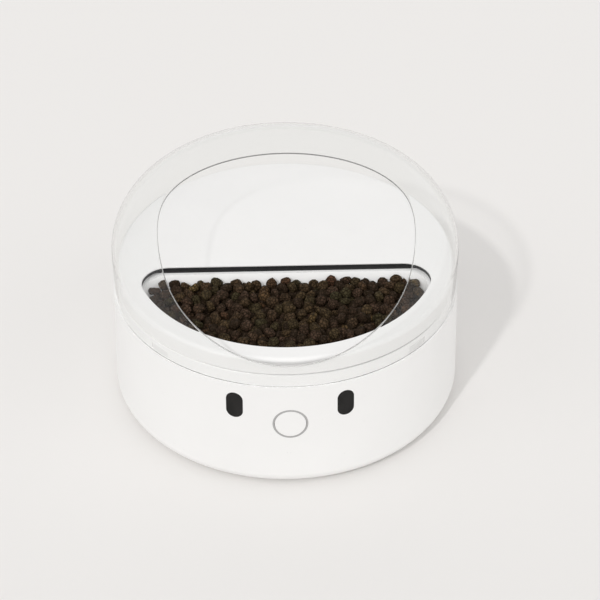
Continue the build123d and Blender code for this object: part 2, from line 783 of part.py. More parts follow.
# Button: a cap flush with the wall, a flange behind the ring and a stem to the switch
flange_reach = wall_radius(button_level) - shell_wall - button_flange_gap
tact_front = front_board_front + tact_size[1]
plunger_tip = tact_front + button_travel
with BuildPart() as front_button:
    add_wall_ring(button_cap_depth)
    with BuildSketch(front.offset(base_radius / 2)):
        Circle(button_ring_radius - button_ring_width - button_play)
    extrude(amount=base_radius, mode=Mode.INTERSECT)
    with BuildSketch(front.offset(flange_reach - button_flange_thickness)):
        Circle(button_flange_radius)
    extrude(amount=button_flange_thickness)
    with BuildSketch(front.offset(plunger_tip)):
        Circle(button_stem_radius)
    extrude(amount=wall_radius(button_level) - plunger_tip - button_cap_depth / 2)
front_button.part.label = "front_button"
export_step(front_button.part, "parts/front_button.step")

with BuildPart() as switch_plunger:
    with BuildSketch(front.offset(plunger_tip - tact_plunger_length)):
        Circle(tact_plunger_radius)
    extrude(amount=tact_plunger_length)
switch_plunger.part.label = "switch_plunger"
export_step(switch_plunger.part, "parts/switch_plunger.step")

with BuildPart() as front_board:
    with BuildSketch(front.offset(front_board_reach)):
        Rectangle(*front_board_size)
        with Locations(*front_board_spots):
            Circle(board_screw["shank"] + screw_play, mode=Mode.SUBTRACT)
    extrude(amount=board_thickness)
front_board.part.label = "front_board"
export_step(front_board.part, "parts/front_board.step")

with BuildPart() as button_switch:
    with BuildSketch(front.offset(front_board_front)):
        Rectangle(tact_size[0], tact_size[0])
    extrude(amount=tact_size[1])
    with BuildSketch(front.offset(tact_front)):
        Circle(tact_plunger_radius + running_fit)
    extrude(amount=-(tact_plunger_length + seat_gap), mode=Mode.SUBTRACT)
button_switch.part.label = "button_switch"
export_step(button_switch.part, "parts/button_switch.step")

# Four lamps on the front board that light the ring
with BuildPart() as ring_lamps:
    with BuildSketch(front.offset(front_board_front)):
        with PolarLocations(button_ring_radius - button_ring_width / 2, 4, start_angle=45):
            Rectangle(lamp_size[0], lamp_size[0])
    extrude(amount=lamp_size[1])
ring_lamps.part.label = "ring_lamps"
export_step(ring_lamps.part, "parts/ring_lamps.step")


def make_sensor_board(side):
    """Small board across the radius behind a window."""
    with BuildPart() as board:
        with BuildSketch(face_plane(side * window_angle, window_level).offset(sensor_board_reach)):
            Rectangle(*sensor_board_size)
            with Locations(*sensor_board_spots):
                Circle(board_screw["shank"] + screw_play, mode=Mode.SUBTRACT)
        extrude(amount=board_thickness)
    return board


def make_sensor(side):
    """Proximity sensor: a block with two round eyes, one over the other."""
    width, height, depth = sensor_size
    with BuildPart() as sensor:
        plane = face_plane(side * window_angle, window_level).offset(sensor_board_front)
        with BuildSketch(plane):
            Rectangle(width, height)
        extrude(amount=depth)
        with BuildSketch(plane.offset(depth)):
            with Locations((0, -height / 4), (0, height / 4)):
                Circle(width / 4)
        extrude(amount=-depth / 4, mode=Mode.SUBTRACT)
    return sensor


left_sensor_board = make_sensor_board(-1)
left_sensor_board.part.label = "left_sensor_board"
export_step(left_sensor_board.part, "parts/left_sensor_board.step")
right_sensor_board = make_sensor_board(1)
right_sensor_board.part.label = "right_sensor_board"
export_step(right_sensor_board.part, "parts/right_sensor_board.step")
left_proximity_sensor = make_sensor(-1)
left_proximity_sensor.part.label = "left_proximity_sensor"
export_step(left_proximity_sensor.part, "parts/left_proximity_sensor.step")
right_proximity_sensor = make_sensor(1)
right_proximity_sensor.part.label = "right_proximity_sensor"
export_step(right_proximity_sensor.part, "parts/right_proximity_sensor.step")

# Screws that hold the boards
board_screw_planes = []
board_backs = [(front.offset(front_board_reach), front_board_spots)]
for side in (-1, 1):
    back = face_plane(side * window_angle, window_level).offset(sensor_board_reach)
    board_backs.append((back, sensor_board_spots))
for back, spots in board_backs:
    for spot in spots:
        board_screw_planes.append(Plane(origin=back.from_local_coords(spot + (0,)), z_dir=-back.z_dir))
board_screw_planes += upward(main_spots, main_board_level + board_thickness)
board_screw_planes += upward(power_boss_spots, power_board_level + board_thickness)
with BuildPart() as board_screws:
    add_screws(board_screw_planes, board_screw)
board_screws.part.label = "board_screws"
export_step(board_screws.part, "parts/board_screws.step")

# Main board over the battery bay, with its parts standing on it
with BuildPart() as main_board:
    with BuildSketch(Plane.XY.offset(main_board_level)):
        with Locations((0, bay_middle)):
            RectangleRounded(*main_board_size, radius=main_board_corner)
        with Locations(*main_spots):
            Circle(board_screw["shank"] + screw_play, mode=Mode.SUBTRACT)
    extrude(amount=board_thickness)
main_board.part.label = "main_board"
export_step(main_board.part, "parts/main_board.step")

main_board_top = main_board_level + board_thickness
with BuildPart() as board_parts:
    for x, y, width, depth, height in main_board_parts:
        add_block(
            (x - width / 2, x + width / 2),
            (bay_middle + y - depth / 2, bay_middle + y + depth / 2),
            (main_board_top, main_board_top + height),
        )
    # two upright capacitors
    spots = [(x, bay_middle + y) for x, y in capacitor_spots]
    add_pillars(spots, capacitor_radius, main_board_top, main_board_top + capacitor_height)
board_parts.part.label = "board_parts"
export_step(board_parts.part, "parts/board_parts.step")

# Power socket on its own small board, its mouth set back in the wall's hole
socket_front = wall_radius(socket_level) - socket_recess
with BuildPart() as power_board:
    board_depth = power_board_size[1] - power_board_stop
    with BuildSketch(Plane.XY.offset(power_board_level)):
        with Locations((0, power_boss_y - power_board_edge + board_depth / 2)):
            Rectangle(power_board_size[0], board_depth)
        with Locations(*power_boss_spots):
            Circle(board_screw["shank"] + screw_play, mode=Mode.SUBTRACT)
    extrude(amount=board_thickness)
power_board.part.label = "power_board"
export_step(power_board.part, "parts/power_board.step")

with BuildPart() as power_socket:
    mouth = face_plane(180, socket_level).offset(socket_front)
    with BuildSketch(mouth):
        SlotOverall(socket_width, socket_height)
    extrude(amount=-socket_length)
    with BuildSketch(mouth):
        SlotOverall(socket_width - 2 * socket_wall, socket_height - 2 * socket_wall)
    extrude(amount=-(socket_length - socket_floor), mode=Mode.SUBTRACT)
    with BuildSketch(mouth.offset(socket_floor - socket_length)):
        Rectangle(socket_tongue[0] * socket_width, socket_tongue[1] * socket_height)
    extrude(amount=socket_length - 2 * socket_floor)
power_socket.part.label = "power_socket"
export_step(power_socket.part, "parts/power_socket.step")

# Drive: bracket under the inner deck, gear motor below it, pinion and drive gear above it
motor_screw_spots = [(-motor_screw_reach, motor_spot[1]), (motor_screw_reach, motor_spot[1])]
with BuildPart() as drive_bracket:
    with BuildSketch(Plane.XY.offset(bracket_bottom)):
        with Locations((0, (bracket_front + bracket_back) / 2)):
            RectangleRounded(2 * bracket_half_width, bracket_back - bracket_front, radius=bracket_corner)
        Circle(gear_stub_radius + running_fit, mode=Mode.SUBTRACT)
        with Locations(motor_spot):
            Circle(2 * motor_shaft_radius, mode=Mode.SUBTRACT)
        with Locations(*motor_screw_spots):
            Circle(motor_screw["shank"] + screw_play, mode=Mode.SUBTRACT)
        with Locations(*bracket_spots):
            Circle(bracket_screw["shank"] + screw_play, mode=Mode.SUBTRACT)
    extrude(amount=bracket_thickness)
drive_bracket.part.label = "drive_bracket"
export_step(drive_bracket.part, "parts/drive_bracket.step")

with BuildPart() as bracket_screws:
    add_screws(downward(bracket_spots, bracket_bottom), bracket_screw)
bracket_screws.part.label = "bracket_screws"
export_step(bracket_screws.part, "parts/bracket_screws.step")

with BuildPart() as motor_screws:
    add_screws(upward(motor_screw_spots, bracket_top), motor_screw)
motor_screws.part.label = "motor_screws"
export_step(motor_screws.part, "parts/motor_screws.step")

gearbox_bottom = bracket_bottom - gearbox_length
with BuildPart() as gear_motor:
    add_pillars([motor_spot], gearbox_radius, gearbox_bottom, bracket_bottom)
    add_pillars([motor_spot], motor_radius, gearbox_bottom - motor_length, gearbox_bottom)
    fillet(gear_motor.edges().group_by(Axis.Z)[0], motor_round)
    # brushes' end cap with two terminals
    motor_bottom = gearbox_bottom - motor_length
    cap_bottom = motor_bottom - motor_cap_height
    add_pillars([motor_spot], motor_radius / 2, cap_bottom, motor_bottom)
    width, depth, height = terminal_size
    for x in (-terminal_reach, terminal_reach):
        add_block(
            (x - width / 2, x + width / 2),
            (motor_spot[1] - depth / 2, motor_spot[1] + depth / 2),
            (cap_bottom - height, motor_bottom + depth),
        )
    bore_bottom = bracket_bottom - motor_bore_depth
    add_pillars([motor_spot], motor_shaft_radius + running_fit, bore_bottom, bracket_bottom, Mode.SUBTRACT)
    pilot = motor_screw["shank"] + pilot_fit
    pilot_bottom = bracket_top - motor_screw["length"] - seat_gap
    add_pillars(motor_screw_spots, pilot, pilot_bottom, bracket_bottom, Mode.SUBTRACT)
gear_motor.part.label = "gear_motor"
export_step(gear_motor.part, "parts/gear_motor.step")

with BuildPart() as motor_shaft:
    add_pillars([motor_spot], motor_shaft_radius, bore_bottom + seat_gap, gear_top + motor_shaft_stand)
motor_shaft.part.label = "motor_shaft"
export_step(motor_shaft.part, "parts/motor_shaft.step")

with BuildPart() as motor_pinion:
    with BuildSketch(Plane(origin=motor_spot + (gear_level,), z_dir=(0, 0, 1))):
        with BuildLine():
            # a gap between teeth faces the drive gear
            Polyline(*gear_points(pinion_teeth, -pi / 2 + pi / pinion_teeth), close=True)
        make_face()
        Circle(motor_shaft_radius + glued_fit, mode=Mode.SUBTRACT)
    extrude(amount=gear_face)
motor_pinion.part.label = "motor_pinion"
export_step(motor_pinion.part, "parts/motor_pinion.step")

with BuildPart() as drive_gear:
    with BuildSketch(Plane.XY.offset(gear_level)):
        with BuildLine():
            Polyline(*gear_points(gear_teeth, pi / 2), close=True)
        make_face()
    extrude(amount=gear_face)
    shoulder_bottom = gear_level - gear_shoulder_height
    add_pillars([(0, 0)], gear_shoulder_radius, shoulder_bottom, gear_level)
    add_pillars([(0, 0)], gear_stub_radius, shoulder_bottom - gear_stub_length, gear_level)
    add_pillars([(0, 0)], gear_hub_radius, gear_top, gear_hub_top)
    with BuildSketch(Plane.XY.offset(shaft_end - hex_room)):
        RegularPolygon(shaft_hex / 2 + seat_gap, 6, major_radius=False)
    extrude(amount=gear_hub_top - shaft_end + hex_room, mode=Mode.SUBTRACT)
    chamfer(drive_gear.edges().group_by(Axis.Z)[-1].filter_by(GeomType.LINE), edge_break)
drive_gear.part.label = "drive_gear"
export_step(drive_gear.part, "parts/drive_gear.step")

with BuildPart() as drive_bush:
    bush_top = inner_deck_top + bush_flange
    add_pillars([(0, 0)], gear_hub_radius + bush_wall, gear_top + bush_gap, inner_deck_top)
    add_pillars([(0, 0)], bush_flange_radius, inner_deck_top, bush_top)
    add_pillars([(0, 0)], gear_hub_radius + running_fit, gear_top, bush_top, Mode.SUBTRACT)
drive_bush.part.label = "drive_bush"
export_step(drive_bush.part, "parts/drive_bush.step")

with BuildPart() as position_switch:
    width, depth, height = switch_size
    add_block(
        (switch_spot[0] - width / 2, switch_spot[0] + width / 2),
        (switch_spot[1] - depth / 2, switch_spot[1] + depth / 2),
        (bracket_top, bracket_top + height),
    )
    lever_start = switch_spot[0] + width / 2
    lever_bottom = bracket_top + switch_lever_rise
    add_block(
        (lever_start, lever_start + switch_lever[0]),
        (switch_spot[1] - switch_lever[1] / 2, switch_spot[1] + switch_lever[1] / 2),
        (lever_bottom, lever_bottom + switch_lever[2]),
    )
position_switch.part.label = "position_switch"
export_step(position_switch.part, "parts/position_switch.step")

# Tray deck: plate with a rounded edge and a skirt that stands on the neck
with BuildPart() as tray_deck:
    with BuildSketch(Plane.XZ):
        with BuildLine():
            Polyline(
                (deck_radius - deck_edge_round, deck_top),
                (0, deck_top),
                (0, deck_under),
                (skirt_inner - skirt_step, deck_under),
                (skirt_inner - skirt_step, bowl_rim),
                (skirt_inner, bowl_rim),
                (skirt_inner, skirt_bottom),
                (deck_radius - edge_break, skirt_bottom),
                (deck_radius, skirt_bottom + edge_break),
                (deck_radius, deck_top - deck_edge_round),
            )
            RadiusArc(
                (deck_radius - deck_edge_round, deck_top),
                (deck_radius, deck_top - deck_edge_round),
                deck_edge_round,
            )
        make_face()
    revolve(axis=Axis.Z)
    # lugs that the bowl's flange snaps over
    lug_top = bowl_flange_bottom
    for angle in lug_angles:
        with BuildSketch(Plane.XY.offset(lug_top - bowl_flange)) as lug:
            Circle(skirt_inner + lug_root)
            Circle(skirt_inner - lug_reach, mode=Mode.SUBTRACT)
            with Locations(Location((0, 0, 0), (0, 0, angle))):
                Rectangle(lug_width, deck_radius, align=(Align.CENTER, Align.MAX), mode=Mode.INTERSECT)
        extrude(amount=bowl_flange)
    # pin that the shutter turns on
    add_pillars([(0, 0)], pivot_radius, pivot_end, deck_under)
    pilot = pivot_screw_size["shank"] + pilot_fit
    add_pillars([(0, 0)], pilot, pivot_end, deck_under + pivot_screw_bite, Mode.SUBTRACT)
    # opening, and the rebate under its edge for the seal
    with BuildSketch(Plane.XY.offset(deck_under)) as opening:
        add_half_moon(opening, 0)
    extrude(amount=deck_plate, mode=Mode.SUBTRACT)
    with BuildSketch(Plane.XY.offset(deck_under)) as rebate:
        add_half_moon(rebate, -seal_width - glued_fit)
    extrude(amount=seal_top - deck_under, mode=Mode.SUBTRACT)
    top_edges = tray_deck.edges().group_by(Axis.Z)[-1]
    fillet(top_edges.filter_by(lambda edge: edge.length < 2 * pi * opening_radius), deck_lip / 2)
tray_deck.part.label = "tray_deck"
export_step(tray_deck.part, "parts/tray_deck.step")

with BuildPart() as opening_seal:
    with BuildSketch(Plane.XY.offset(seal_bottom)) as seal_outline:
        add_half_moon(seal_outline, -seal_width)
    extrude(amount=seal_height)
    with BuildSketch(Plane.XY.offset(seal_bottom)) as seal_inside:
        add_half_moon(seal_inside, 0)
    extrude(amount=seal_height, mode=Mode.SUBTRACT)
opening_seal.part.label = "opening_seal"
export_step(opening_seal.part, "parts/opening_seal.step")

# Bowl: leaning walls, rounded floor, and a flange that snaps into the deck's skirt
with BuildPart() as bowl:
    with BuildSketch(Plane.XY.offset(bowl_rim)) as rim:
        add_half_moon(rim, 0)
    with BuildSketch(Plane.XY.offset(bowl_floor)) as bowl_base:
        add_half_moon(bowl_base, bowl_draft)
    loft()
    fillet(bowl.faces().sort_by(Axis.Z)[0].edges(), bowl_round)
    offset(amount=-bowl_wall, openings=bowl.faces().sort_by(Axis.Z)[-1])
    with BuildSketch(Plane.XY.offset(bowl_flange_bottom)) as bowl_mouth:
        add_half_moon(bowl_mouth, bowl_wall / 2)
    with BuildSketch(Plane.XY.offset(bowl_flange_bottom)) as bowl_plate:
        Circle(skirt_inner - seat_gap)
        with Locations((0, opening_back + bowl_back_flange)):
            width = 2 * deck_radius
            Rectangle(width, width, align=(Align.CENTER, Align.MAX), mode=Mode.INTERSECT)
        add(bowl_mouth.sketch_local, mode=Mode.SUBTRACT)
    extrude(bowl_plate.sketch, amount=bowl_flange)
bowl.part.label = "bowl"
export_step(bowl.part, "parts/bowl.step")

# Dry food: a bed that follows the bowl's inside, with round pellets half sunk in it
food_gap = bowl_wall + 2 * seat_gap


def chance(number):
    """A fixed value from 0 to 1 that jumps about from one number to the next."""
    return (43758.5453 * sin(12.9898 * number)) % 1


def hold_within(spot, middle, room):
    """Moves a spot back to at most this far from an upright line through a middle."""
    reach = hypot(spot[0] - middle[0], spot[1] - middle[1])
    if reach > room:
        for axis in (0, 1):
            spot[axis] = middle[axis] + (spot[axis] - middle[axis]) * room / reach


def keep_in_bowl(spot):
    """Moves a pellet's middle back inside the bowl's walls and its layer."""
    spot[2] = min(max(spot[2], food_level - pellet_rise), food_level + pellet_rise)
    inset = bowl_inset(spot[2]) + food_gap + pellet_radius
    spot[1] = min(spot[1], opening_back - inset)
    hold_within(spot, (0, 0), opening_radius - inset)
    corner_y = opening_back - opening_corner
    corner_x = sqrt((opening_radius - opening_corner) ** 2 - corner_y**2)
    if abs(spot[0]) > corner_x and spot[1] * corner_x > corner_y * abs(spot[0]):
        side = 1 if spot[0] > 0 else -1
        hold_within(spot, (side * corner_x, corner_y), opening_corner - inset)


def ease_apart(spots):
    """Moves pellets that overlap half way apart each, again and again, and keeps them in the bowl."""
    near = 2 * pellet_radius + seat_gap / 3
    for turn in range(pellet_rounds):
        for index, spot in enumerate(spots):
            for other in spots[:index]:
                away = [a - b for a, b in zip(spot, other)]
                apart = hypot(*away)
                if apart < near:
                    for axis in range(3):
                        spot[axis] += away[axis] * (near - apart) / apart / 2
                        other[axis] -= away[axis] * (near - apart) / apart / 2
        for spot in spots:
            keep_in_bowl(spot)


def pellet_spots():
    """Middles of the top pellets: a staggered grid, moved about by chance and eased apart."""
    spots = []
    row_step = pellet_spacing * sin(radians(60))
    back = opening_back - bowl_inset(food_level) - food_gap - pellet_radius
    reach = opening_radius - bowl_inset(food_level) - food_gap - pellet_radius / 2
    columns = int(reach / pellet_spacing)
    for row in range(int((back + reach) / row_step) + 1):
        for column in range(-columns, columns + 1):
            number = len(spots) + 1
            x = (column + row % 2 / 2) * pellet_spacing
            y = back - row * row_step
            if hypot(x, y) < reach:
                x += pellet_shift * (2 * chance(number) - 1)
                y += pellet_shift * (2 * chance(number + 1 / 3) - 1)
                z = food_level + pellet_rise * (2 * chance(number + 2 / 3) - 1)
                spots.append([x, y, z])
    ease_apart(spots)
    return [tuple(spot) for spot in spots]


kibble_bottom = bowl_floor + bowl_wall + seat_gap
with BuildPart() as kibble:
    with BuildSketch(Plane.XY.offset(bed_level)) as bed_top:
        add_half_moon(bed_top, bowl_inset(bed_level) + food_gap)
    with BuildSketch(Plane.XY.offset(kibble_bottom)) as kibble_base:
        add_half_moon(kibble_base, bowl_inset(kibble_bottom) + food_gap)
    loft()
    fillet(kibble.faces().sort_by(Axis.Z)[0].edges(), bowl_round - bowl_wall - seat_gap)
    with Locations(*pellet_spots()):
        Sphere(pellet_radius)
kibble.part.label = "kibble"
export_step(kibble.part, "parts/kibble.step")

# Washer and screw that hold the shutter on the deck's pin
with BuildPart() as pivot_washer:
    add_pillars([(0, 0)], washer_radius, pivot_end - washer_thickness, pivot_end)
    washer_hole = pivot_screw_size["shank"] + washer_play
    add_pillars([(0, 0)], washer_hole, pivot_end - washer_thickness, pivot_end, Mode.SUBTRACT)
pivot_washer.part.label = "pivot_washer"
export_step(pivot_washer.part, "parts/pivot_washer.step")

with BuildPart() as pivot_screw:
    add_screws(downward([(0, 0)], pivot_end - washer_thickness), pivot_screw_size)
pivot_screw.part.label = "pivot_screw"
export_step(pivot_screw.part, "parts/pivot_screw.step")

# Shutter: a half disc that turns on the pin, kept clear of the seal above and the bowl below
hub_spots = ring_spots(hub_screw_circle, (0, 0, 0), (90, 210, 330))
with BuildPart() as shutter:
    with BuildSketch(Plane.XY.offset(shutter_bottom)):
        Circle(shutter_radius)
        with Locations((0, -shutter_back_reach)):
            width = 2 * shutter_radius
            Rectangle(width, width, align=(Align.CENTER, Align.MIN), mode=Mode.INTERSECT)
        Circle(pivot_radius + running_fit, mode=Mode.SUBTRACT)
    extrude(amount=shutter_thickness)
    pilot = hub_screw["shank"] + pilot_fit
    add_pillars(hub_spots, pilot, shutter_bottom, shutter_top - hub_screw_skin, Mode.SUBTRACT)
shutter.part.label = "shutter"
export_step(shutter.part, "parts/shutter.step")

# Rubber wiper along the shutter's straight edge
with BuildPart() as shutter_wiper:
    with BuildSketch(Plane.XY.offset(shutter_bottom)):
        Circle(shutter_radius)
        with Locations((0, -shutter_back_reach)):
            width = 2 * shutter_radius
            Rectangle(width, wiper_width, align=(Align.CENTER, Align.MAX), mode=Mode.INTERSECT)
    extrude(amount=shutter_thickness)
shutter_wiper.part.label = "shutter_wiper"
export_step(shutter_wiper.part, "parts/shutter_wiper.step")

# Shaft: a cup screwed under the shutter, ending in a hexagon that drops into the drive gear
with BuildPart() as shutter_shaft:
    cup_bottom = shutter_bottom - shaft_cup_depth - shaft_cup_floor
    cup_low = shutter_bottom - shaft_cup_depth
    flange_low = shutter_bottom - shaft_flange_thickness
    shaft_low = gear_hub_top + shaft_stand
    add_pillars([(0, 0)], shaft_flange_radius, flange_low, shutter_bottom)
    add_pillars([(0, 0)], shaft_cup_radius, cup_bottom, shutter_bottom)
    add_pillars([(0, 0)], shaft_radius, shaft_low, cup_bottom)
    with BuildSketch(Plane.XY.offset(shaft_end)):
        RegularPolygon(shaft_hex / 2, 6, major_radius=False)
    extrude(amount=shaft_low - shaft_end)
    chamfer(shutter_shaft.edges().group_by(Axis.Z)[0], shaft_chamfer)
    add_pillars([(0, 0)], shaft_cup_bore, cup_low, shutter_bottom, Mode.SUBTRACT)
    add_pillars(hub_spots, hub_screw["shank"] + washer_play, flange_low, shutter_bottom, Mode.SUBTRACT)
shutter_shaft.part.label = "shutter_shaft"
export_step(shutter_shaft.part, "parts/shutter_shaft.step")

with BuildPart() as hub_screws:
    add_screws(downward(hub_spots, shutter_bottom - shaft_flange_thickness), hub_screw)
hub_screws.part.label = "hub_screws"
export_step(hub_screws.part, "parts/hub_screws.step")

# Dome: straight wall, rounded shoulder and a slightly domed top, one thickness all over
corner_middle = dome_radius - dome_corner
crown_rise = dome_top - dome_corner_level
crown_radius = (corner_middle**2 + crown_rise**2 - dome_corner**2) / (2 * (crown_rise - dome_corner))
crown_centre = dome_top - crown_radius
crown_lean = atan2(corner_middle, dome_corner_level - crown_centre)
mouth_plane = Plane(
    origin=(0, 0, deck_top),
    x_dir=(1, 0, 0),
    z_dir=(0, -cos(radians(mouth_tilt)), sin(radians(mouth_tilt))),
)

with BuildPart() as dome:
    with BuildSketch(Plane.XZ):
        with BuildLine():
            sweep_angle = -degrees(crown_lean)
            outer_crown = CenterArc((0, crown_centre), crown_radius, 90, sweep_angle)
            outer_corner = RadiusArc(outer_crown @ 1, (dome_radius, dome_corner_level), dome_corner)
            outer_wall = Line(outer_corner @ 1, (dome_radius, dome_bottom))
            edge = Line(outer_wall @ 1, (dome_radius - dome_wall, dome_bottom))
            inner_wall = Line(edge @ 1, (dome_radius - dome_wall, dome_corner_level))
            inner_crown = CenterArc((0, crown_centre), crown_radius - dome_wall, 90, sweep_angle)
            RadiusArc(inner_crown @ 1, inner_wall @ 1, dome_corner - dome_wall)
            Line(inner_crown @ 0, outer_crown @ 0)
        make_face()
    revolve(axis=Axis.Z)
    # egg-shaped mouth, cut along the direction that it faces
    with BuildSketch(mouth_plane):
        with BuildLine():
            right = [(x * dome_radius, y * dome_radius) for x, y in mouth_side]
            left = [(-x, y) for x, y in reversed(right)]
            bottom = (0, mouth_bottom * dome_radius)
            top = (0, mouth_top * dome_radius)
            Spline(bottom, *right, top, *left, periodic=True)
        make_face()
    extrude(amount=2 * dome_radius, mode=Mode.SUBTRACT)
dome.part.label = "dome"
export_step(dome.part, "parts/dome.step")
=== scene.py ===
import json
import math
import bpy
import numpy as np
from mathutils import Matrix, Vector


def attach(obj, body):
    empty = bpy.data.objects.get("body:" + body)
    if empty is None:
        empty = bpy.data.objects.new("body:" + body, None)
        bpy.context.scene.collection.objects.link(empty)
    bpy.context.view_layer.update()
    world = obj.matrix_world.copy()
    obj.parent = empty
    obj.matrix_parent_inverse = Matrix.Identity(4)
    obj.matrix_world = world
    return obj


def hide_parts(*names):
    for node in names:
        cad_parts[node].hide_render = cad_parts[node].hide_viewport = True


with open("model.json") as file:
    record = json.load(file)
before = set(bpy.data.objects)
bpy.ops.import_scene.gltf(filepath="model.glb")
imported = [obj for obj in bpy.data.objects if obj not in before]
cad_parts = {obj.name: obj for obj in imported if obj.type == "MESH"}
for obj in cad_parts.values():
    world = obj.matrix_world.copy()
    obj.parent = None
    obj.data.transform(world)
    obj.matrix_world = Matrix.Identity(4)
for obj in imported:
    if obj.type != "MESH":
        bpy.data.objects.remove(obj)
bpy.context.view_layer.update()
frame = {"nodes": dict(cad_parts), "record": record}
nodes = frame["nodes"]


# The camera and the light.
viewSettings = {
    "eye": (-0.0173, -0.8872, 0.7549),
    "lookAt": (0.0114, -0.0004, 0.0716),
    "lens": 83.32,          # in millimetres, as the sensor's width is
    "sensorWidth": 36.0,
    "clipStart": 0.01,
}

lightSettings = {
    "skyForSurfaces": 0.625,
    "skyForView": 0.84,     # behind clear walls and in smooth faces: as bright as the floor
    "skyColour": (1.0, 0.995, 0.99, 1.0),
}

# Each lamp: the way its light travels, its share of the floor's light, its width in degrees and whether it
# shades. Only the window lamp shows in glossy faces: the fills stand for light from the room's walls.
lamps = {
    "windowLamp": ((0.66, 1.0, -1.0), 0.170, 2.8, True),
    "frontFill": ((0.0, 0.6, -0.80), 0.062, 40, True),
    "rightFill": ((-0.9, 0.43, -0.70), 0.060, 30, False),
    "rightWall": ((-0.9, 0.43, -0.70), 0.030, 40, True),
    "leftFill": ((0.95, 0.3, -0.70), 0.036, 40, True),
    "backFill": ((0.1, -1.0, -0.75), 0.025, 40, True),
    "bowlFill": ((0.0, 1.0, -0.45), 0.08, 40, False),       # for the bowl alone
}


def addMath(tree, operation, first, second=None, third=None):
    node = tree.nodes.new("ShaderNodeMath")
    node.operation = operation
    for socket, value in zip(node.inputs, (first, second, third)):
        if value is None:
            continue
        if isinstance(value, (int, float)):
            socket.default_value = value
        else:
            tree.links.new(value, socket)
    return node.outputs[0]


def addSum(tree, first, share, second, otherShare):
    # first times its share, plus second times its own
    return addMath(tree, "MULTIPLY_ADD", first, share, addMath(tree, "MULTIPLY", second, otherShare))


def addRange(tree, value, fromLow, fromHigh, toLow, toHigh):
    node = tree.nodes.new("ShaderNodeMapRange")
    limits = {"From Min": fromLow, "From Max": fromHigh, "To Min": toLow, "To Max": toHigh}
    for label, number in limits.items():
        node.inputs[label].default_value = number
    tree.links.new(value, node.inputs["Value"])
    return node.outputs["Result"]


def placeCamera(settings):
    data = bpy.data.cameras.new("tableCamera")
    data.lens = settings["lens"]
    data.sensor_width = settings["sensorWidth"]
    data.clip_start = settings["clipStart"]
    camera = bpy.data.objects.new("tableCamera", data)
    camera.location = settings["eye"]
    towards = Vector(settings["lookAt"]) - Vector(settings["eye"])
    camera.rotation_euler = towards.to_track_quat("-Z", "Y").to_euler()
    bpy.context.scene.collection.objects.link(camera)
    bpy.context.scene.camera = camera


def lightStage(settings):
    world = bpy.data.worlds.new("studioSky")
    world.use_nodes = True
    bpy.context.scene.world = world
    tree = world.node_tree
    tree.nodes.clear()
    path = tree.nodes.new("ShaderNodeLightPath")
    viewed = addMath(tree, "MAXIMUM", path.outputs["Is Camera Ray"], path.outputs["Is Transmission Ray"])
    viewed = addMath(tree, "MAXIMUM", viewed, path.outputs["Is Glossy Ray"])
    strength = addRange(tree, viewed, 0.0, 1.0, settings["skyForSurfaces"], settings["skyForView"])
    sky = tree.nodes.new("ShaderNodeBackground")
    sky.inputs["Color"].default_value = settings["skyColour"]
    tree.links.new(strength, sky.inputs["Strength"])
    out = tree.nodes.new("ShaderNodeOutputWorld")
    tree.links.new(sky.outputs[0], out.inputs["Surface"])

    for name, (travel, share, width, shades) in lamps.items():
        travel = Vector(travel).normalized()
        lamp = bpy.data.lights.new(name, "SUN")
        lamp.energy = share * math.pi / -travel.z
        lamp.angle = math.radians(width)
        lamp.use_shadow = shades
        lampObject = bpy.data.objects.new(name, lamp)
        lampObject.rotation_euler = travel.to_track_quat("-Z", "Y").to_euler()
        lampObject.visible_glossy = name == "windowLamp"
        lampObject.visible_transmission = name == "windowLamp"
        bpy.context.scene.collection.objects.link(lampObject)
        if name == "bowlFill":
            # white walls round a deep bowl send light back and forth, more than the shades above let in
            lit = bpy.data.collections.new("litByBowlFill")
            lit.objects.link(nodes["bowl"])
            lampObject.light_linking.receiver_collection = lit


placeCamera(viewSettings)
lightStage(lightSettings)
print("camera and light placed")


# Node helpers and the effects that several materials share.
def newMaterial(name):
    material = bpy.data.materials.new(name)
    material.use_nodes = True
    tree = material.node_tree
    tree.nodes.clear()
    out = tree.nodes.new("ShaderNodeOutputMaterial")
    shader = tree.nodes.new("ShaderNodeBsdfPrincipled")
    tree.links.new(shader.outputs[0], out.inputs["Surface"])
    return material, tree, shader


def objectSpot(tree, stretch=(1, 1, 1)):
    place = tree.nodes.new("ShaderNodeTexCoord")
    mapping = tree.nodes.new("ShaderNodeMapping")
    mapping.inputs["Scale"].default_value = stretch
    tree.links.new(place.outputs["Object"], mapping.inputs["Vector"])
    return mapping.outputs["Vector"]


def splitAxes(tree, vector):
    split = tree.nodes.new("ShaderNodeSeparateXYZ")
    tree.links.new(vector, split.inputs[0])
    return split.outputs


def addNoise(tree, vector, scale, detail, roughness):
    noise = tree.nodes.new("ShaderNodeTexNoise")
    noise.inputs["Detail"].default_value = detail
    noise.inputs["Roughness"].default_value = roughness
    tree.links.new(vector, noise.inputs["Vector"])
    if isinstance(scale, (int, float)):
        noise.inputs["Scale"].default_value = scale
    else:
        tree.links.new(scale, noise.inputs["Scale"])
    return noise.outputs["Fac"]


def spreadNoise(tree, noise, low, high):
    # Noise lies mostly between 0.3 and 0.7: that part of it becomes low to high.
    return addRange(tree, noise, 0.3, 0.7, low, high)


def mixColour(tree, mask, first, second):
    node = tree.nodes.new("ShaderNodeMix")
    node.data_type = "RGBA"
    # sockets 0, 6 and 7 are the factor and the two colours
    for socket, value in ((node.inputs[0], mask), (node.inputs[6], first), (node.inputs[7], second)):
        if isinstance(value, tuple):
            socket.default_value = value
        else:
            tree.links.new(value, socket)
    return node.outputs[2]


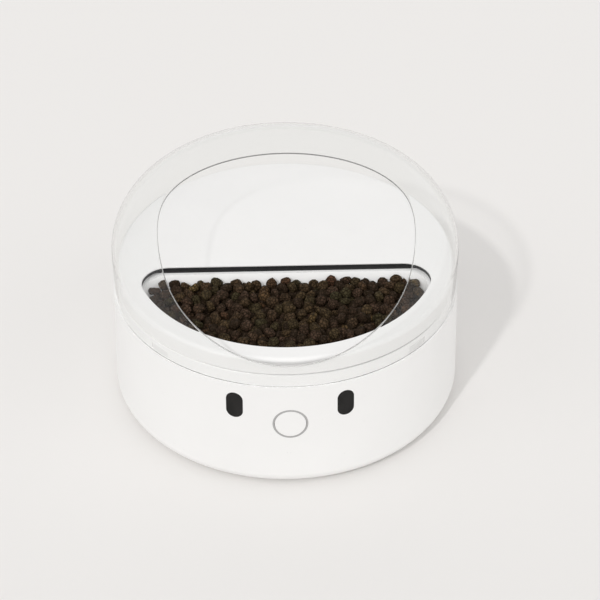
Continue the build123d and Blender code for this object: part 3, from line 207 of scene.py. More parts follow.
def newGroup(name, numbers, outs):
    # A node group that takes a vector and the numbers named, and gives the values named in outs.
    group = bpy.data.node_groups.new(name, "ShaderNodeTree")
    group.interface.new_socket(name="Vector", in_out="INPUT", socket_type="NodeSocketVector")
    for label, value in numbers.items():
        socket = group.interface.new_socket(name=label, in_out="INPUT", socket_type="NodeSocketFloat")
        socket.default_value = value
    for label in outs:
        group.interface.new_socket(name=label, in_out="OUTPUT", socket_type="NodeSocketFloat")
    return group, group.nodes.new("NodeGroupInput"), group.nodes.new("NodeGroupOutput")


def makeSparkGroup():
    # Texture of a spark-eroded mould: fine even pits, with broad soft patches in gloss and shade.
    outs = ("Height", "Gloss", "Shade")
    group, start, end = newGroup("mouldTexture", {"Grain": 2600.0, "Patch": 28.0}, outs)
    vector = start.outputs["Vector"]
    grain = addNoise(group, vector, start.outputs["Grain"], detail=3.0, roughness=0.6)
    patch = addNoise(group, vector, start.outputs["Patch"], detail=4.0, roughness=0.55)
    wide = addNoise(group, vector, scale=6.0, detail=1.0, roughness=0.4)
    group.links.new(grain, end.inputs["Height"])
    group.links.new(addSum(group, grain, 0.35, patch, 0.65), end.inputs["Gloss"])
    group.links.new(addSum(group, patch, 0.4, wide, 0.6), end.inputs["Shade"])
    return group


def makeDustGroup():
    # Sparse round specks with soft edges, as a mask.
    group, start, end = newGroup("fineDust", {"Scale": 420.0, "Cover": 0.06}, ("Mask",))
    cells = group.nodes.new("ShaderNodeTexVoronoi")
    group.links.new(start.outputs["Vector"], cells.inputs["Vector"])
    group.links.new(start.outputs["Scale"], cells.inputs["Scale"])
    near = addRange(group, cells.outputs["Distance"], 0.05, 0.16, 1.0, 0.0)     # shares of a cell
    pick = group.nodes.new("ShaderNodeSeparateColor")
    group.links.new(cells.outputs["Color"], pick.inputs[0])
    chosen = addMath(group, "LESS_THAN", pick.outputs[0], start.outputs["Cover"])
    group.links.new(addMath(group, "MULTIPLY", near, chosen), end.inputs["Mask"])
    return group


def makeBrushGroup():
    # Fine parallel scratches, long along the vector's Z, for metal.
    group, start, end = newGroup("brushedMetal", {"Scale": 900.0}, ("Height", "Gloss"))
    vector = start.outputs["Vector"]
    squeeze = group.nodes.new("ShaderNodeMapping")
    squeeze.inputs["Scale"].default_value = (1.0, 1.0, 0.04)
    group.links.new(vector, squeeze.inputs["Vector"])
    lines = addNoise(group, squeeze.outputs[0], start.outputs["Scale"], detail=4.0, roughness=0.65)
    stain = addNoise(group, vector, scale=60.0, detail=3.0, roughness=0.5)
    group.links.new(lines, end.inputs["Height"])
    group.links.new(addSum(group, lines, 0.5, stain, 0.5), end.inputs["Gloss"])
    return group


mouldTexture = makeSparkGroup()
fineDust = makeDustGroup()
brushedMetal = makeBrushGroup()


def useGroup(tree, group, vector, **values):
    node = tree.nodes.new("ShaderNodeGroup")
    node.node_tree = group
    tree.links.new(vector, node.inputs["Vector"])
    for label, value in values.items():
        node.inputs[label].default_value = value
    return node


def feedShader(tree, shader, colour, roughness):
    tree.links.new(colour, shader.inputs["Base Color"])
    tree.links.new(roughness, shader.inputs["Roughness"])


def addBump(tree, shader, height, distance, strength=1.0):
    bump = tree.nodes.new("ShaderNodeBump")
    bump.inputs["Strength"].default_value = strength
    bump.inputs["Distance"].default_value = distance
    tree.links.new(height, bump.inputs["Height"])
    tree.links.new(bump.outputs[0], shader.inputs["Normal"])


def shadeOf(colour, factor):
    return (colour[0] * factor, colour[1] * factor, colour[2] * factor, 1.0)


# Finishes. Depths of their textures are in metres.
textureDepth = {
    "plastic": 0.000012,
    "metal": 0.000015,
    "rubber": 0.00003,
    "clear": 0.00002,
    "sawn": 0.00002,
    "window": 0.00001,
    "board": 0.00004,
    "sleeve": 0.00001,
    "winding": 0.00008,
    "crust": 0.0018,
}

# Painted shade along the joint between neck and deck, where the gap lies in shade.
paintedJointShade = {
    "level": 0.1057,        # of the joint between neck and deck
    "reach": 0.0005,        # above and below it
    "tone": 0.70,
    "left": (-0.075, 0.05),     # across: none at the first, full at the second
    "right": (0.100, 0.118),    # full at the first, none at the second
}


def makeMouldedPlastic(
    name, colour, low, high, grain=2600.0, spread=0.03, dust=0.03, dustTone=0.8, seam=None
):
    # Injection moulded plastic: an even colour that drifts a little, fine pits, and a roughness from low to
    # high. At a seam the colour sinks to the seam's tone: painted shade along the joint, fading out to the
    # left and the right.
    material, tree, shader = newMaterial(name)
    spot = objectSpot(tree)
    texture = useGroup(tree, mouldTexture, spot, Grain=grain)
    specks = useGroup(tree, fineDust, spot, Cover=dust)
    tone = spreadNoise(tree, texture.outputs["Shade"], 0.0, 1.0)
    body = mixColour(tree, tone, shadeOf(colour, 1.0 - spread), shadeOf(colour, 1.0 + spread * 0.3))
    body = mixColour(tree, specks.outputs["Mask"], body, shadeOf(colour, dustTone))
    if seam:
        # painted shade: a dark band along the joint
        axes = splitAxes(tree, spot)
        away = addMath(tree, "ABSOLUTE", addMath(tree, "SUBTRACT", axes[2], seam["level"]))
        jointShade = addRange(tree, away, seam["reach"] * 0.5, seam["reach"], 1.0, 0.0)
        jointShade = addMath(tree, "MULTIPLY", jointShade, addRange(tree, axes[0], *seam["left"], 0.0, 1.0))
        jointShade = addMath(tree, "MULTIPLY", jointShade, addRange(tree, axes[0], *seam["right"], 1.0, 0.0))
        body = mixColour(tree, jointShade, body, shadeOf(colour, seam["tone"]))
    feedShader(tree, shader, body, spreadNoise(tree, texture.outputs["Gloss"], low, high))
    addBump(tree, shader, texture.outputs["Height"], textureDepth["plastic"])
    return material


def makeMetal(name, colour, low, high):
    # Metal with fine scratches and duller stains.
    material, tree, shader = newMaterial(name)
    brush = useGroup(tree, brushedMetal, objectSpot(tree))
    shader.inputs["Metallic"].default_value = 1.0
    tone = spreadNoise(tree, brush.outputs["Gloss"], 0.0, 1.0)
    body = mixColour(tree, tone, shadeOf(colour, 0.86), shadeOf(colour, 1.05))
    feedShader(tree, shader, body, spreadNoise(tree, brush.outputs["Gloss"], low, high))
    addBump(tree, shader, brush.outputs["Height"], textureDepth["metal"])
    return material


rubberSettings = {
    "grain": 1500.0,
    "patch": 70.0,
    "bloom": 0.5,           # the most that the bloom covers
    "kept": 0.8,            # share of the rubber's own colour in the bloom
    "added": 0.04,
    "rough": (0.55, 0.8),
}


def makeRubber(name, colour):
    # Soft rubber: dull, with a pale bloom in patches.
    settings = rubberSettings
    material, tree, shader = newMaterial(name)
    texture = useGroup(tree, mouldTexture, objectSpot(tree), Grain=settings["grain"], Patch=settings["patch"])
    bloom = addRange(tree, texture.outputs["Shade"], 0.45, 0.75, 0.0, settings["bloom"])
    pale = tuple(part * settings["kept"] + settings["added"] for part in colour) + (1.0,)
    body = mixColour(tree, bloom, shadeOf(colour, 1.0), pale)
    feedShader(tree, shader, body, spreadNoise(tree, texture.outputs["Gloss"], *settings["rough"]))
    addBump(tree, shader, texture.outputs["Height"], textureDepth["rubber"])
    return material


clearSettings = {
    "tint": (0.979, 0.983, 0.979, 1.0),
    "speckTint": (0.93, 0.93, 0.93, 1.0),
    "index": 1.28,
    "polish": 0.0,
    "smudge": 0.018,
    "grain": 900.0,
    "patch": 22.0,
    "waviness": 0.3,
    "shadowTint": (0.955, 0.955, 0.955, 1.0),
    "rimShadowTint": (0.50, 0.50, 0.50, 1.0),
    "slantPower": 3.5,      # how late the second shadow tint takes over as the wall turns away
    "fillTint": (0.99, 0.99, 0.99, 1.0),
}
edgeSettings = {
    "tint": (0.93, 0.93, 0.92),
    # painted shade: the sawn edge's upper part is darker, in place of the dark line the clear wall draws
    # along the mouth's top
    "paintedShadeTint": (0.50, 0.50, 0.49),     # where the mouth has climbed above the deck's sight line
    "climb": (0.129, 0.142),
    "clear": 0.45,          # share of the light that goes on through the sawn face
    "rough": 0.22,
    "grain": 1400.0,
    "patch": 60.0,
    "shadowTint": (0.25, 0.25, 0.25, 1.0),
}


def addTransparent(tree, tint):
    node = tree.nodes.new("ShaderNodeBsdfTransparent")
    node.inputs["Color"].default_value = tint
    return node.outputs[0]


def addShaderMix(tree, share, first, second):
    node = tree.nodes.new("ShaderNodeMixShader")
    for socket, value in zip(node.inputs, (share, first, second)):
        tree.links.new(value, socket)
    return node.outputs[0]


def letThrough(tree, shader, shadow, fill):
    # Puts plain see-through shaders in the way of shadow rays and of diffuse rays.
    path = tree.nodes.new("ShaderNodeLightPath")
    inside = addShaderMix(tree, path.outputs["Is Diffuse Ray"], shader.outputs[0], fill)
    chosen = addShaderMix(tree, path.outputs["Is Shadow Ray"], inside, shadow)
    tree.links.new(chosen, tree.nodes["Material Output"].inputs["Surface"])


def makeClearPlastic(settings):
    # Clear moulded plastic, with faint handling marks in its gloss. Light for shadows and for what lies
    # inside goes straight through it, and a shadow is darker where the wall stands at a slant.
    material, tree, shader = newMaterial("clearPlastic")
    spot = objectSpot(tree)
    texture = useGroup(tree, mouldTexture, spot, Grain=settings["grain"], Patch=settings["patch"])
    specks = useGroup(tree, fineDust, spot, Scale=300.0, Cover=0.02)
    shader.inputs["Transmission Weight"].default_value = 1.0
    shader.inputs["IOR"].default_value = settings["index"]
    tint = mixColour(tree, specks.outputs["Mask"], settings["tint"], settings["speckTint"])
    gloss = addRange(tree, texture.outputs["Gloss"], 0.35, 0.75, settings["polish"], settings["smudge"])
    feedShader(tree, shader, tint, gloss)
    addBump(tree, shader, texture.outputs["Shade"], textureDepth["clear"], settings["waviness"])
    slant = tree.nodes.new("ShaderNodeLayerWeight")
    slant.inputs["Blend"].default_value = 0.5
    aside = addMath(tree, "POWER", slant.outputs["Facing"], settings["slantPower"])
    straight = addTransparent(tree, settings["shadowTint"])
    slanted = addTransparent(tree, settings["rimShadowTint"])
    shadow = addShaderMix(tree, aside, straight, slanted)
    letThrough(tree, shader, shadow, addTransparent(tree, settings["fillTint"]))
    return material


def makeSawnEdge(settings):
    # The cut edge of the same plastic: fine saw marks along it blur what it lets through and catch light.
    material, tree, shader = newMaterial("sawnEdge")
    spot = objectSpot(tree)
    texture = useGroup(tree, mouldTexture, spot, Grain=settings["grain"], Patch=settings["patch"])
    tone = spreadNoise(tree, texture.outputs["Shade"], 0.0, 1.0)
    # painted shade on the sawn edge, darker as the mouth climbs
    high = addRange(tree, splitAxes(tree, spot)[2], *settings["climb"], 0.0, 1.0)
    pale = mixColour(tree, tone, shadeOf(settings["tint"], 0.94), shadeOf(settings["tint"], 1.0))
    body = mixColour(tree, high, pale, shadeOf(settings["paintedShadeTint"], 1.0))
    rough = settings["rough"]
    feedShader(tree, shader, body, spreadNoise(tree, texture.outputs["Gloss"], rough * 0.7, rough * 1.3))
    shader.inputs["Transmission Weight"].default_value = settings["clear"]
    shader.inputs["IOR"].default_value = clearSettings["index"]
    addBump(tree, shader, texture.outputs["Height"], textureDepth["sawn"])
    shade = addTransparent(tree, settings["shadowTint"])
    letThrough(tree, shader, shade, shade)
    return material


windowSettings = {
    "dark": (0.0085, 0.0078, 0.0072, 1.0),
    "pale": (0.015, 0.0135, 0.013, 1.0),
    "flow": 160.0,
    "flowStretch": (1, 1, 0.3),
    "grain": 2200.0,
    "rough": (0.28, 0.4),
    "specular": 0.2,
}


def makeDarkWindow(settings):
    # Smoked plastic that lets infrared through: near black, with faint upright flow lines.
    material, tree, shader = newMaterial("smokedWindow")
    spot = objectSpot(tree, settings["flowStretch"])
    flow = addNoise(tree, spot, settings["flow"], detail=3.0, roughness=0.5)
    tone = addRange(tree, flow, 0.35, 0.7, 0.0, 1.0)
    body = mixColour(tree, tone, settings["dark"], settings["pale"])
    feedShader(tree, shader, body, spreadNoise(tree, flow, *settings["rough"]))
    shader.inputs["Specular IOR Level"].default_value = settings["specular"]
    texture = useGroup(tree, mouldTexture, objectSpot(tree), Grain=settings["grain"])
    addBump(tree, shader, texture.outputs["Height"], textureDepth["window"])
    return material


boardSettings = {
    "bare": (0.012, 0.085, 0.035, 1.0),
    "overCopper": (0.03, 0.19, 0.075, 1.0),
    "tracks": {"Scale": 260.0, "Mortar Size": 0.09, "Brick Width": 1.7, "Row Height": 0.36},
    "trackOffset": 0.37,
    "pours": 90.0,
    "pourTone": 0.6,        # of the lighter green, over a broad pour of copper
    "rough": (0.3, 0.45),
}


def makeBoard(settings):
    # Circuit board: green mask, lighter over the copper of narrow tracks in rows and of broad pours.
    material, tree, shader = newMaterial("circuitBoard")
    spot = objectSpot(tree)
    tracks = tree.nodes.new("ShaderNodeTexBrick")
    tracks.offset = settings["trackOffset"]
    for label, value in settings["tracks"].items():
        tracks.inputs[label].default_value = value
    tree.links.new(spot, tracks.inputs["Vector"])
    fill = addNoise(tree, spot, settings["pours"], detail=1.0, roughness=0.5)
    pour = addMath(tree, "MULTIPLY", addMath(tree, "GREATER_THAN", fill, 0.5), settings["pourTone"])
    copper = addMath(tree, "MAXIMUM", tracks.outputs["Fac"], pour)
    body = mixColour(tree, copper, settings["bare"], settings["overCopper"])
    feedShader(tree, shader, body, spreadNoise(tree, fill, *settings["rough"]))
    addBump(tree, shader, copper, textureDepth["board"])
    return material


sleeveSettings = {
    "body": (0.035, 0.04, 0.05, 1.0),
    "band": (0.45, 0.30, 0.12, 1.0),
    "end": (0.62, 0.62, 0.63, 1.0),
    "cellsPerMetre": 20.0,
    "bandFrom": 0.72,       # shares of a cell's length
    "endFrom": 0.955,
    "foil": 0.35,           # how metallic the sleeve is
    "brush": 700.0,
    "rough": (0.24, 0.42),
}


def makeCellSleeve(settings):
    # Printed sleeve of a dry cell: dark, with a plain pale band and a bare metal end on each cell.
    material, tree, shader = newMaterial("cellSleeve")
    spot = objectSpot(tree)
    across = splitAxes(tree, spot)[0]
    along = addMath(tree, "FRACT", addMath(tree, "MULTIPLY", across, settings["cellsPerMetre"]))
    band = addMath(tree, "GREATER_THAN", along, settings["bandFrom"])
    end = addMath(tree, "GREATER_THAN", along, settings["endFrom"])
    brush = useGroup(tree, brushedMetal, spot, Scale=settings["brush"])
    body = mixColour(tree, band, settings["body"], settings["band"])
    body = mixColour(tree, end, body, settings["end"])
    feedShader(tree, shader, body, spreadNoise(tree, brush.outputs["Gloss"], *settings["rough"]))
    tree.links.new(addMath(tree, "MAXIMUM", end, settings["foil"]), shader.inputs["Metallic"])
    addBump(tree, shader, brush.outputs["Height"], textureDepth["sleeve"])
    return material


windingSettings = {
    "grooveShade": (0.22, 0.07, 0.03, 1.0),
    "wire": (0.72, 0.33, 0.16, 1.0),
    "turns": 560.0,
    "waver": 0.4,
    "metallic": 0.8,
    "rough": (0.45, 0.25),  # in the groove and on the wire
}


def makeWinding(settings):
    # Enamelled copper wire, wound in even turns one above the other, with painted shade between the turns.
    material, tree, shader = newMaterial("copperWinding")
    turns = tree.nodes.new("ShaderNodeTexWave")
    turns.bands_direction = "Z"
    turns.inputs["Scale"].default_value = settings["turns"]
    turns.inputs["Distortion"].default_value = settings["waver"]
    tree.links.new(objectSpot(tree), turns.inputs["Vector"])
    # painted shade: darker between the turns
    body = mixColour(tree, turns.outputs["Fac"], settings["grooveShade"], settings["wire"])
    feedShader(tree, shader, body, addRange(tree, turns.outputs["Fac"], 0.0, 1.0, *settings["rough"]))
    shader.inputs["Metallic"].default_value = settings["metallic"]
    addBump(tree, shader, turns.outputs["Fac"], textureDepth["winding"])
    return material


crustSettings = {
    "tones": (              # places on the ramp that each pellet takes its colour from
        (0.0, (0.038, 0.024, 0.015)),
        (0.35, (0.085, 0.050, 0.033)),
        (0.60, (0.087, 0.056, 0.028)),
        (0.80, (0.057, 0.049, 0.024)),
        (0.95, (0.115, 0.054, 0.032)),
        (1.0, (0.150, 0.102, 0.042)),
    ),
    "pitShadeColour": (0.012, 0.007, 0.002, 1.0),
    "speckColour": (0.15, 0.11, 0.075, 1.0),
    "crumbs": 760.0,
    "lumps": 300.0,
    "cracks": 420.0,
    "crackWaver": (0.0022, 0.0022, 0.0022),
    "crackWidth": 0.30,
    "pitDepths": (0.31, 0.59),
    "rough": (0.5, 0.8),
    "specular": 0.1,
}


def makeCrust(settings):
    # Baked dry food: a crumbly crust whose colour differs from piece to piece, with pale crumbs and painted
    # shade in the pits and cracks, where its bump sinks.
    material, tree, shader = newMaterial("foodCrust")
    spot = objectSpot(tree)
    piece = tree.nodes.new("ShaderNodeAttribute")
    piece.attribute_name = "pelletTint"
    ramp = tree.nodes.new("ShaderNodeValToRGB")
    while len(ramp.color_ramp.elements) < len(settings["tones"]):
        ramp.color_ramp.elements.new(0.5)
    for element, (position, colour) in zip(ramp.color_ramp.elements, settings["tones"]):
        element.position = position
        element.color = colour + (1.0,)
    tree.links.new(piece.outputs["Fac"], ramp.inputs[0])
    crumb = addNoise(tree, spot, settings["crumbs"], detail=5.0, roughness=0.75)
    lump = addNoise(tree, spot, settings["lumps"], detail=3.0, roughness=0.6)
    cells = tree.nodes.new("ShaderNodeTexVoronoi")
    cells.feature = "DISTANCE_TO_EDGE"
    cells.inputs["Scale"].default_value = settings["cracks"]
    warp = tree.nodes.new("ShaderNodeVectorMath")
    warp.operation = "MULTIPLY_ADD"
    tree.links.new(crumb, warp.inputs[0])
    warp.inputs[1].default_value = settings["crackWaver"]
    tree.links.new(spot, warp.inputs[2])
    tree.links.new(warp.outputs[0], cells.inputs["Vector"])
    grain = addRange(tree, cells.outputs["Distance"], 0.0, settings["crackWidth"], 0.0, 1.0)
    rough = addSum(tree, crumb, 0.6, grain, 0.4)
    # painted shade: the pits and cracks, low in the bump, are darkened
    pitShade = addRange(tree, rough, *settings["pitDepths"], 0.0, 1.0)
    body = mixColour(tree, pitShade, settings["pitShadeColour"], ramp.outputs["Color"])
    specks = useGroup(tree, fineDust, spot, Scale=1500.0, Cover=0.03)
    body = mixColour(tree, specks.outputs["Mask"], body, settings["speckColour"])
    feedShader(tree, shader, body, spreadNoise(tree, lump, *settings["rough"]))
    shader.inputs["Specular IOR Level"].default_value = settings["specular"]
    addBump(tree, shader, addSum(tree, lump, 0.6, rough, 0.45), textureDepth["crust"])
    return material


finishes = {
    "white_plastic": makeMouldedPlastic("shellPlastic", (0.89, 0.885, 0.875), 0.36, 0.5),
    "deck_white": makeMouldedPlastic("deckPlastic", (0.905, 0.90, 0.89), 0.5, 0.64, seam=paintedJointShade),
    # painted light: lighter than the shell, for light the dome takes from the neck
    "neck_white": makeMouldedPlastic("neckPlastic", (0.94, 0.935, 0.925), 0.4, 0.54, seam=paintedJointShade),
    "grip_pad": makeRubber("gripPad", (0.84, 0.835, 0.825)),
    "clear_plastic": makeClearPlastic(clearSettings),
    "dark_window": makeDarkWindow(windowSettings),
    "light_ring": makeMouldedPlastic("frostedRing", (0.42, 0.415, 0.41), 0.35, 0.5, grain=1800.0, dust=0.0),
    "black_rubber": makeRubber("sealRubber", (0.012, 0.012, 0.013)),
    "grey_rubber": makeRubber("footRubber", (0.20, 0.20, 0.20)),
    "kibble": makeCrust(crustSettings),
    # painted light: lighter than the shell, for light bounced round inside the bowl
    "bowl_white": makeMouldedPlastic("bowlPlastic", (0.955, 0.95, 0.94), 0.3, 0.42),
    "steel": makeMetal("screwSteel", (0.62, 0.62, 0.63), 0.25, 0.42),
    "brass": makeMetal("turnedBrass", (0.78, 0.57, 0.25), 0.22, 0.38),
    "copper": makeWinding(windingSettings),
    "circuit_board": makeBoard(boardSettings),
    "black_component": makeMouldedPlastic(
        "blackResin", (0.022, 0.022, 0.023), 0.45, 0.65, grain=1800.0, spread=0.2, dustTone=3.0
    ),
    "lamp": makeMouldedPlastic("lampBody", (0.80, 0.72, 0.38), 0.2, 0.35, dust=0.0),
    "gear_plastic": makeMouldedPlastic("gearNylon", (0.80, 0.77, 0.69), 0.35, 0.5, grain=1500.0),
    "cell": makeCellSleeve(sleeveSettings),
}

# nodes whose finish is a shade of their slot's: the neck's and the bowl's are lighter, painted light in place
# of light that the dome and the bowl's depth take away
ownFinish = {"bowl": "bowl_white", "tray_deck": "deck_white", "upper_housing": "neck_white"}
slotOf = {row["node"]: row["material_slot"] for row in frame["record"]["subparts"]}
for name, node in nodes.items():
    node.data.materials.clear()
    node.data.materials.append(finishes[ownFinish.get(name, slotOf[name])])
print("finishes on", len(nodes), "nodes")


# Mesh helpers.
def meshPiece(name, points, faces, material):
    mesh = bpy.data.meshes.new(name)
    mesh.from_pydata(points.reshape(-1, 3).tolist(), [], faces)
    mesh.validate()
    mesh.polygons.foreach_set("use_smooth", np.ones(len(mesh.polygons), bool))
    mesh.materials.append(material)
    piece = bpy.data.objects.new(name, mesh)
    bpy.context.scene.collection.objects.link(piece)
    return piece


def ringFaces(rows, columns, closeRows):
    # Quads of a grid whose columns wrap round, and whose rows wrap round too where closeRows is set.
    row = np.arange(rows if closeRows else rows - 1)[:, None]
    column = np.arange(columns)[None, :]
    here = row * columns
    after = (row + 1) % rows * columns
    beside = (column + 1) % columns
    return np.stack([here + column, here + beside, after + beside, after + column], axis=-1).reshape(-1, 4)


# The floor.
floorSettings = {
    "half": 6.0,            # half its side
    "colour": (0.839, 0.823, 0.807),
    "drift": 0.003,
    "frontFrom": -0.10,     # it darkens from here towards the front
    "frontTo": -0.32,
    "frontShadeTone": 0.975,
    "rough": 0.95,
    "specular": 0.1,
}


def makeFloorMatt(settings):
    # Matt paper, cloudy by a hair, and a little darker towards the front, which is painted shade.
    material, tree, shader = newMaterial("paleFloor")
    spot = objectSpot(tree)
    colour, drift = settings["colour"], settings["drift"]
    cloud = addNoise(tree, spot, scale=3.0, detail=2.0, roughness=0.5)
    body = mixColour(tree, cloud, shadeOf(colour, 1 - drift), shadeOf(colour, 1 + drift))
    # painted shade: darker towards the front
    near = addRange(tree, splitAxes(tree, spot)[1], settings["frontFrom"], settings["frontTo"], 0.0, 1.0)
    body = mixColour(tree, near, body, shadeOf(colour, settings["frontShadeTone"]))
    tree.links.new(body, shader.inputs["Base Color"])
    shader.inputs["Roughness"].default_value = settings["rough"]
    shader.inputs["Specular IOR Level"].default_value = settings["specular"]
    return material


half = floorSettings["half"]
floorCorners = [(-half, -half, 0), (half, -half, 0), (half, half, 0), (-half, half, 0)]
floorMesh = bpy.data.meshes.new("floor")
floorMesh.from_pydata(floorCorners, [], [(0, 1, 2, 3)])
floorMesh.materials.append(makeFloorMatt(floorSettings))
floor = bpy.data.objects.new("floor", floorMesh)
bpy.context.scene.collection.objects.link(floor)


# The dome, in metres.
domeSettings = {
    "radius": 0.1349,
    "wall": 0.002,
    "corner": 0.0498,
    "cornerLevel": 0.129,
    "top": 0.1828,
    "bottom": 0.0961,
    "mouthTilt": 50.0,      # degrees above level that the mouth faces
    "mouthPoints": (        # across and up, on the tilted plane
        (0.0, -0.0283), (0.0782, 0.0156), (0.0933, 0.0614), (0.0916, 0.1025),
        (0.0, 0.1519), (-0.0916, 0.1025), (-0.0933, 0.0614), (-0.0782, 0.0156),
    ),
    "rimPoints": 4000,
    "halvings": 44,         # to bring a point of the rim onto the skin
    "profilePoints": 6000,
    "lipRound": 0.0006,
    "lipLimit": 0.45,       # the most of the wall that the round at one side of the mouth's edge takes
    "footShare": 0.006,     # of the profile's length, left for the rounded foot
    "around": 640,
    "skinRows": 44,
    "lipRows": 5,
    "footRows": 4,
}


def periodicCurve(points, count):
    # Closed cubic spline through the points, with the knots a chord apart: the slopes at the points
    # solve the usual ring of three-term equations, and each span is a Hermite cubic.
    points = np.asarray(points, float)
    step = np.linalg.norm(np.roll(points, -1, 0) - points, axis=1)
    before = np.roll(step, 1)
    total = len(points)
    index = np.arange(total)
    table = np.zeros((total, total))
    table[index, index] = 2 * (step + before)
    table[index, (index - 1) % total] = step
    table[index, (index + 1) % total] = before
    rise = (np.roll(points, -1, 0) - points) / step[:, None]
    right = 3 * (step[:, None] * np.roll(rise, 1, 0) + before[:, None] * rise)
    slope = np.linalg.solve(table, right)
    knots = np.concatenate([[0], np.cumsum(step)])
    at = np.linspace(0, knots[-1], count, endpoint=False)
    span = np.clip(np.searchsorted(knots, at, side="right") - 1, 0, total - 1)
    share = ((at - knots[span]) / step[span])[:, None]
    far = (span + 1) % total
    width = step[span][:, None]
    return (
        (2 * share**3 - 3 * share**2 + 1) * points[span]
        + (share**3 - 2 * share**2 + share) * width * slope[span]
        + (3 * share**2 - 2 * share**3) * points[far]
        + (share**3 - share**2) * width * slope[far]
    )


def crownOf(settings):
    # The radius of the corner's middle, then the crown's radius, the level of its middle and the lean at
    # which it meets the corner. The crown is the sphere that touches the corner's arc and passes the top:
    # its radius is (middle squared + rise squared - corner squared) over twice (rise - corner).
    middle = settings["radius"] - settings["corner"]
    rise = settings["top"] - settings["cornerLevel"]
    crown = (middle**2 + rise**2 - settings["corner"] ** 2) / (2 * (rise - settings["corner"]))
    centre = settings["top"] - crown
    return middle, crown, centre, math.atan2(middle, settings["cornerLevel"] - centre)


def skinDistance(settings, depth, radius, level):
    # How far a point lies outside the skin that is this deep in the wall: an upright wall below the
    # corner, a round corner, and a large sphere as the crown.
    middle, crown, centre, limit = crownOf(settings)
    wall = radius - (settings["radius"] - depth)
    corner = np.hypot(radius - middle, level - settings["cornerLevel"]) - (settings["corner"] - depth)
    top = np.hypot(radius, level - centre) - (crown - depth)
    lean = np.arctan2(radius, level - centre)
    return np.where(level <= settings["cornerLevel"], wall, np.where(lean >= limit, corner, top))


def mouthRim(settings, depth, outset):
    # Where the mouth's outline, moved outwards by outset, meets a skin: each of its points is carried
    # along the direction that the mouth faces until it is on the skin, by halving the step.
    flat = periodicCurve(settings["mouthPoints"], settings["rimPoints"])
    along = np.roll(flat, -1, 0) - np.roll(flat, 1, 0)
    normal = np.stack([along[:, 1], -along[:, 0]], 1)
    flat = flat + outset * normal / np.linalg.norm(normal, axis=1)[:, None]
    tilt = math.radians(settings["mouthTilt"])
    facing = np.array([0, -math.cos(tilt), math.sin(tilt)])
    upward = np.array([0, math.sin(tilt), math.cos(tilt)])
    # each point starts inside the dome, and twice the dome's radius further on it is outside
    start = flat[:, :1] * np.array([1, 0, 0]) + flat[:, 1:] * upward + facing * settings["radius"] / 3
    low = np.zeros(len(flat))
    high = np.full(len(flat), 2 * settings["radius"])
    for halving in range(settings["halvings"]):
        half = (low + high) / 2
        spot = start + half[:, None] * facing
        outside = skinDistance(settings, depth, np.hypot(spot[:, 0], spot[:, 1]), spot[:, 2]) > 0
        low = np.where(outside, low, half)
        high = np.where(outside, half, high)
    return start + high[:, None] * facing


def rimByAngle(points, angles):
    # The rim's radius and level at each angle about the upright axis.
    turn = np.unwrap(np.arctan2(points[:, 1], points[:, 0]))
    if turn[-1] < turn[0]:
        turn, points = turn[::-1], points[::-1]
    radius = np.hypot(points[:, 0], points[:, 1])
    turns = np.concatenate([turn - 2 * np.pi, turn, turn + 2 * np.pi])
    wrapped = (angles - turn[0]) % (2 * np.pi) + turn[0]
    return tuple(np.interp(wrapped, turns, np.tile(values, 3)) for values in (radius, points[:, 2]))


def skinSpot(settings, depth, share):
    # A point of a skin by its share of the way from the bottom edge (0) to the top of the axis (1),
    # measured along the profile: upright wall, corner arc, crown arc.
    middle, crown, centre, limit = crownOf(settings)
    wallLength = settings["cornerLevel"] - settings["bottom"]
    bend = settings["corner"] - depth
    bendLength = bend * (math.pi / 2 - limit)
    crownLength = (crown - depth) * limit
    run = share * (wallLength + bendLength + crownLength)
    onBend = np.clip((run - wallLength) / bend, 0, math.pi / 2 - limit)
    onCrown = np.clip((run - wallLength - bendLength) / (crown - depth), 0, limit)
    inWall = run <= wallLength
    inCrown = run > wallLength + bendLength
    radius = np.where(inCrown, (crown - depth) * np.sin(limit - onCrown), middle + bend * np.cos(onBend))
    level = np.where(
        inCrown,
        centre + (crown - depth) * np.cos(limit - onCrown),
        np.where(inWall, settings["bottom"] + run, settings["cornerLevel"] + bend * np.sin(onBend)),
    )
    return radius, level


def shareOfRim(settings, depth, radius, level):
    # The share along the profile that a point of the skin has: read off a fine table by its level less its
    # radius, which grows all the way up the profile.
    table = np.linspace(0, 1, settings["profilePoints"])
    tableRadius, tableLevel = skinSpot(settings, depth, table)
    return np.interp(level - radius, tableLevel - tableRadius, table)


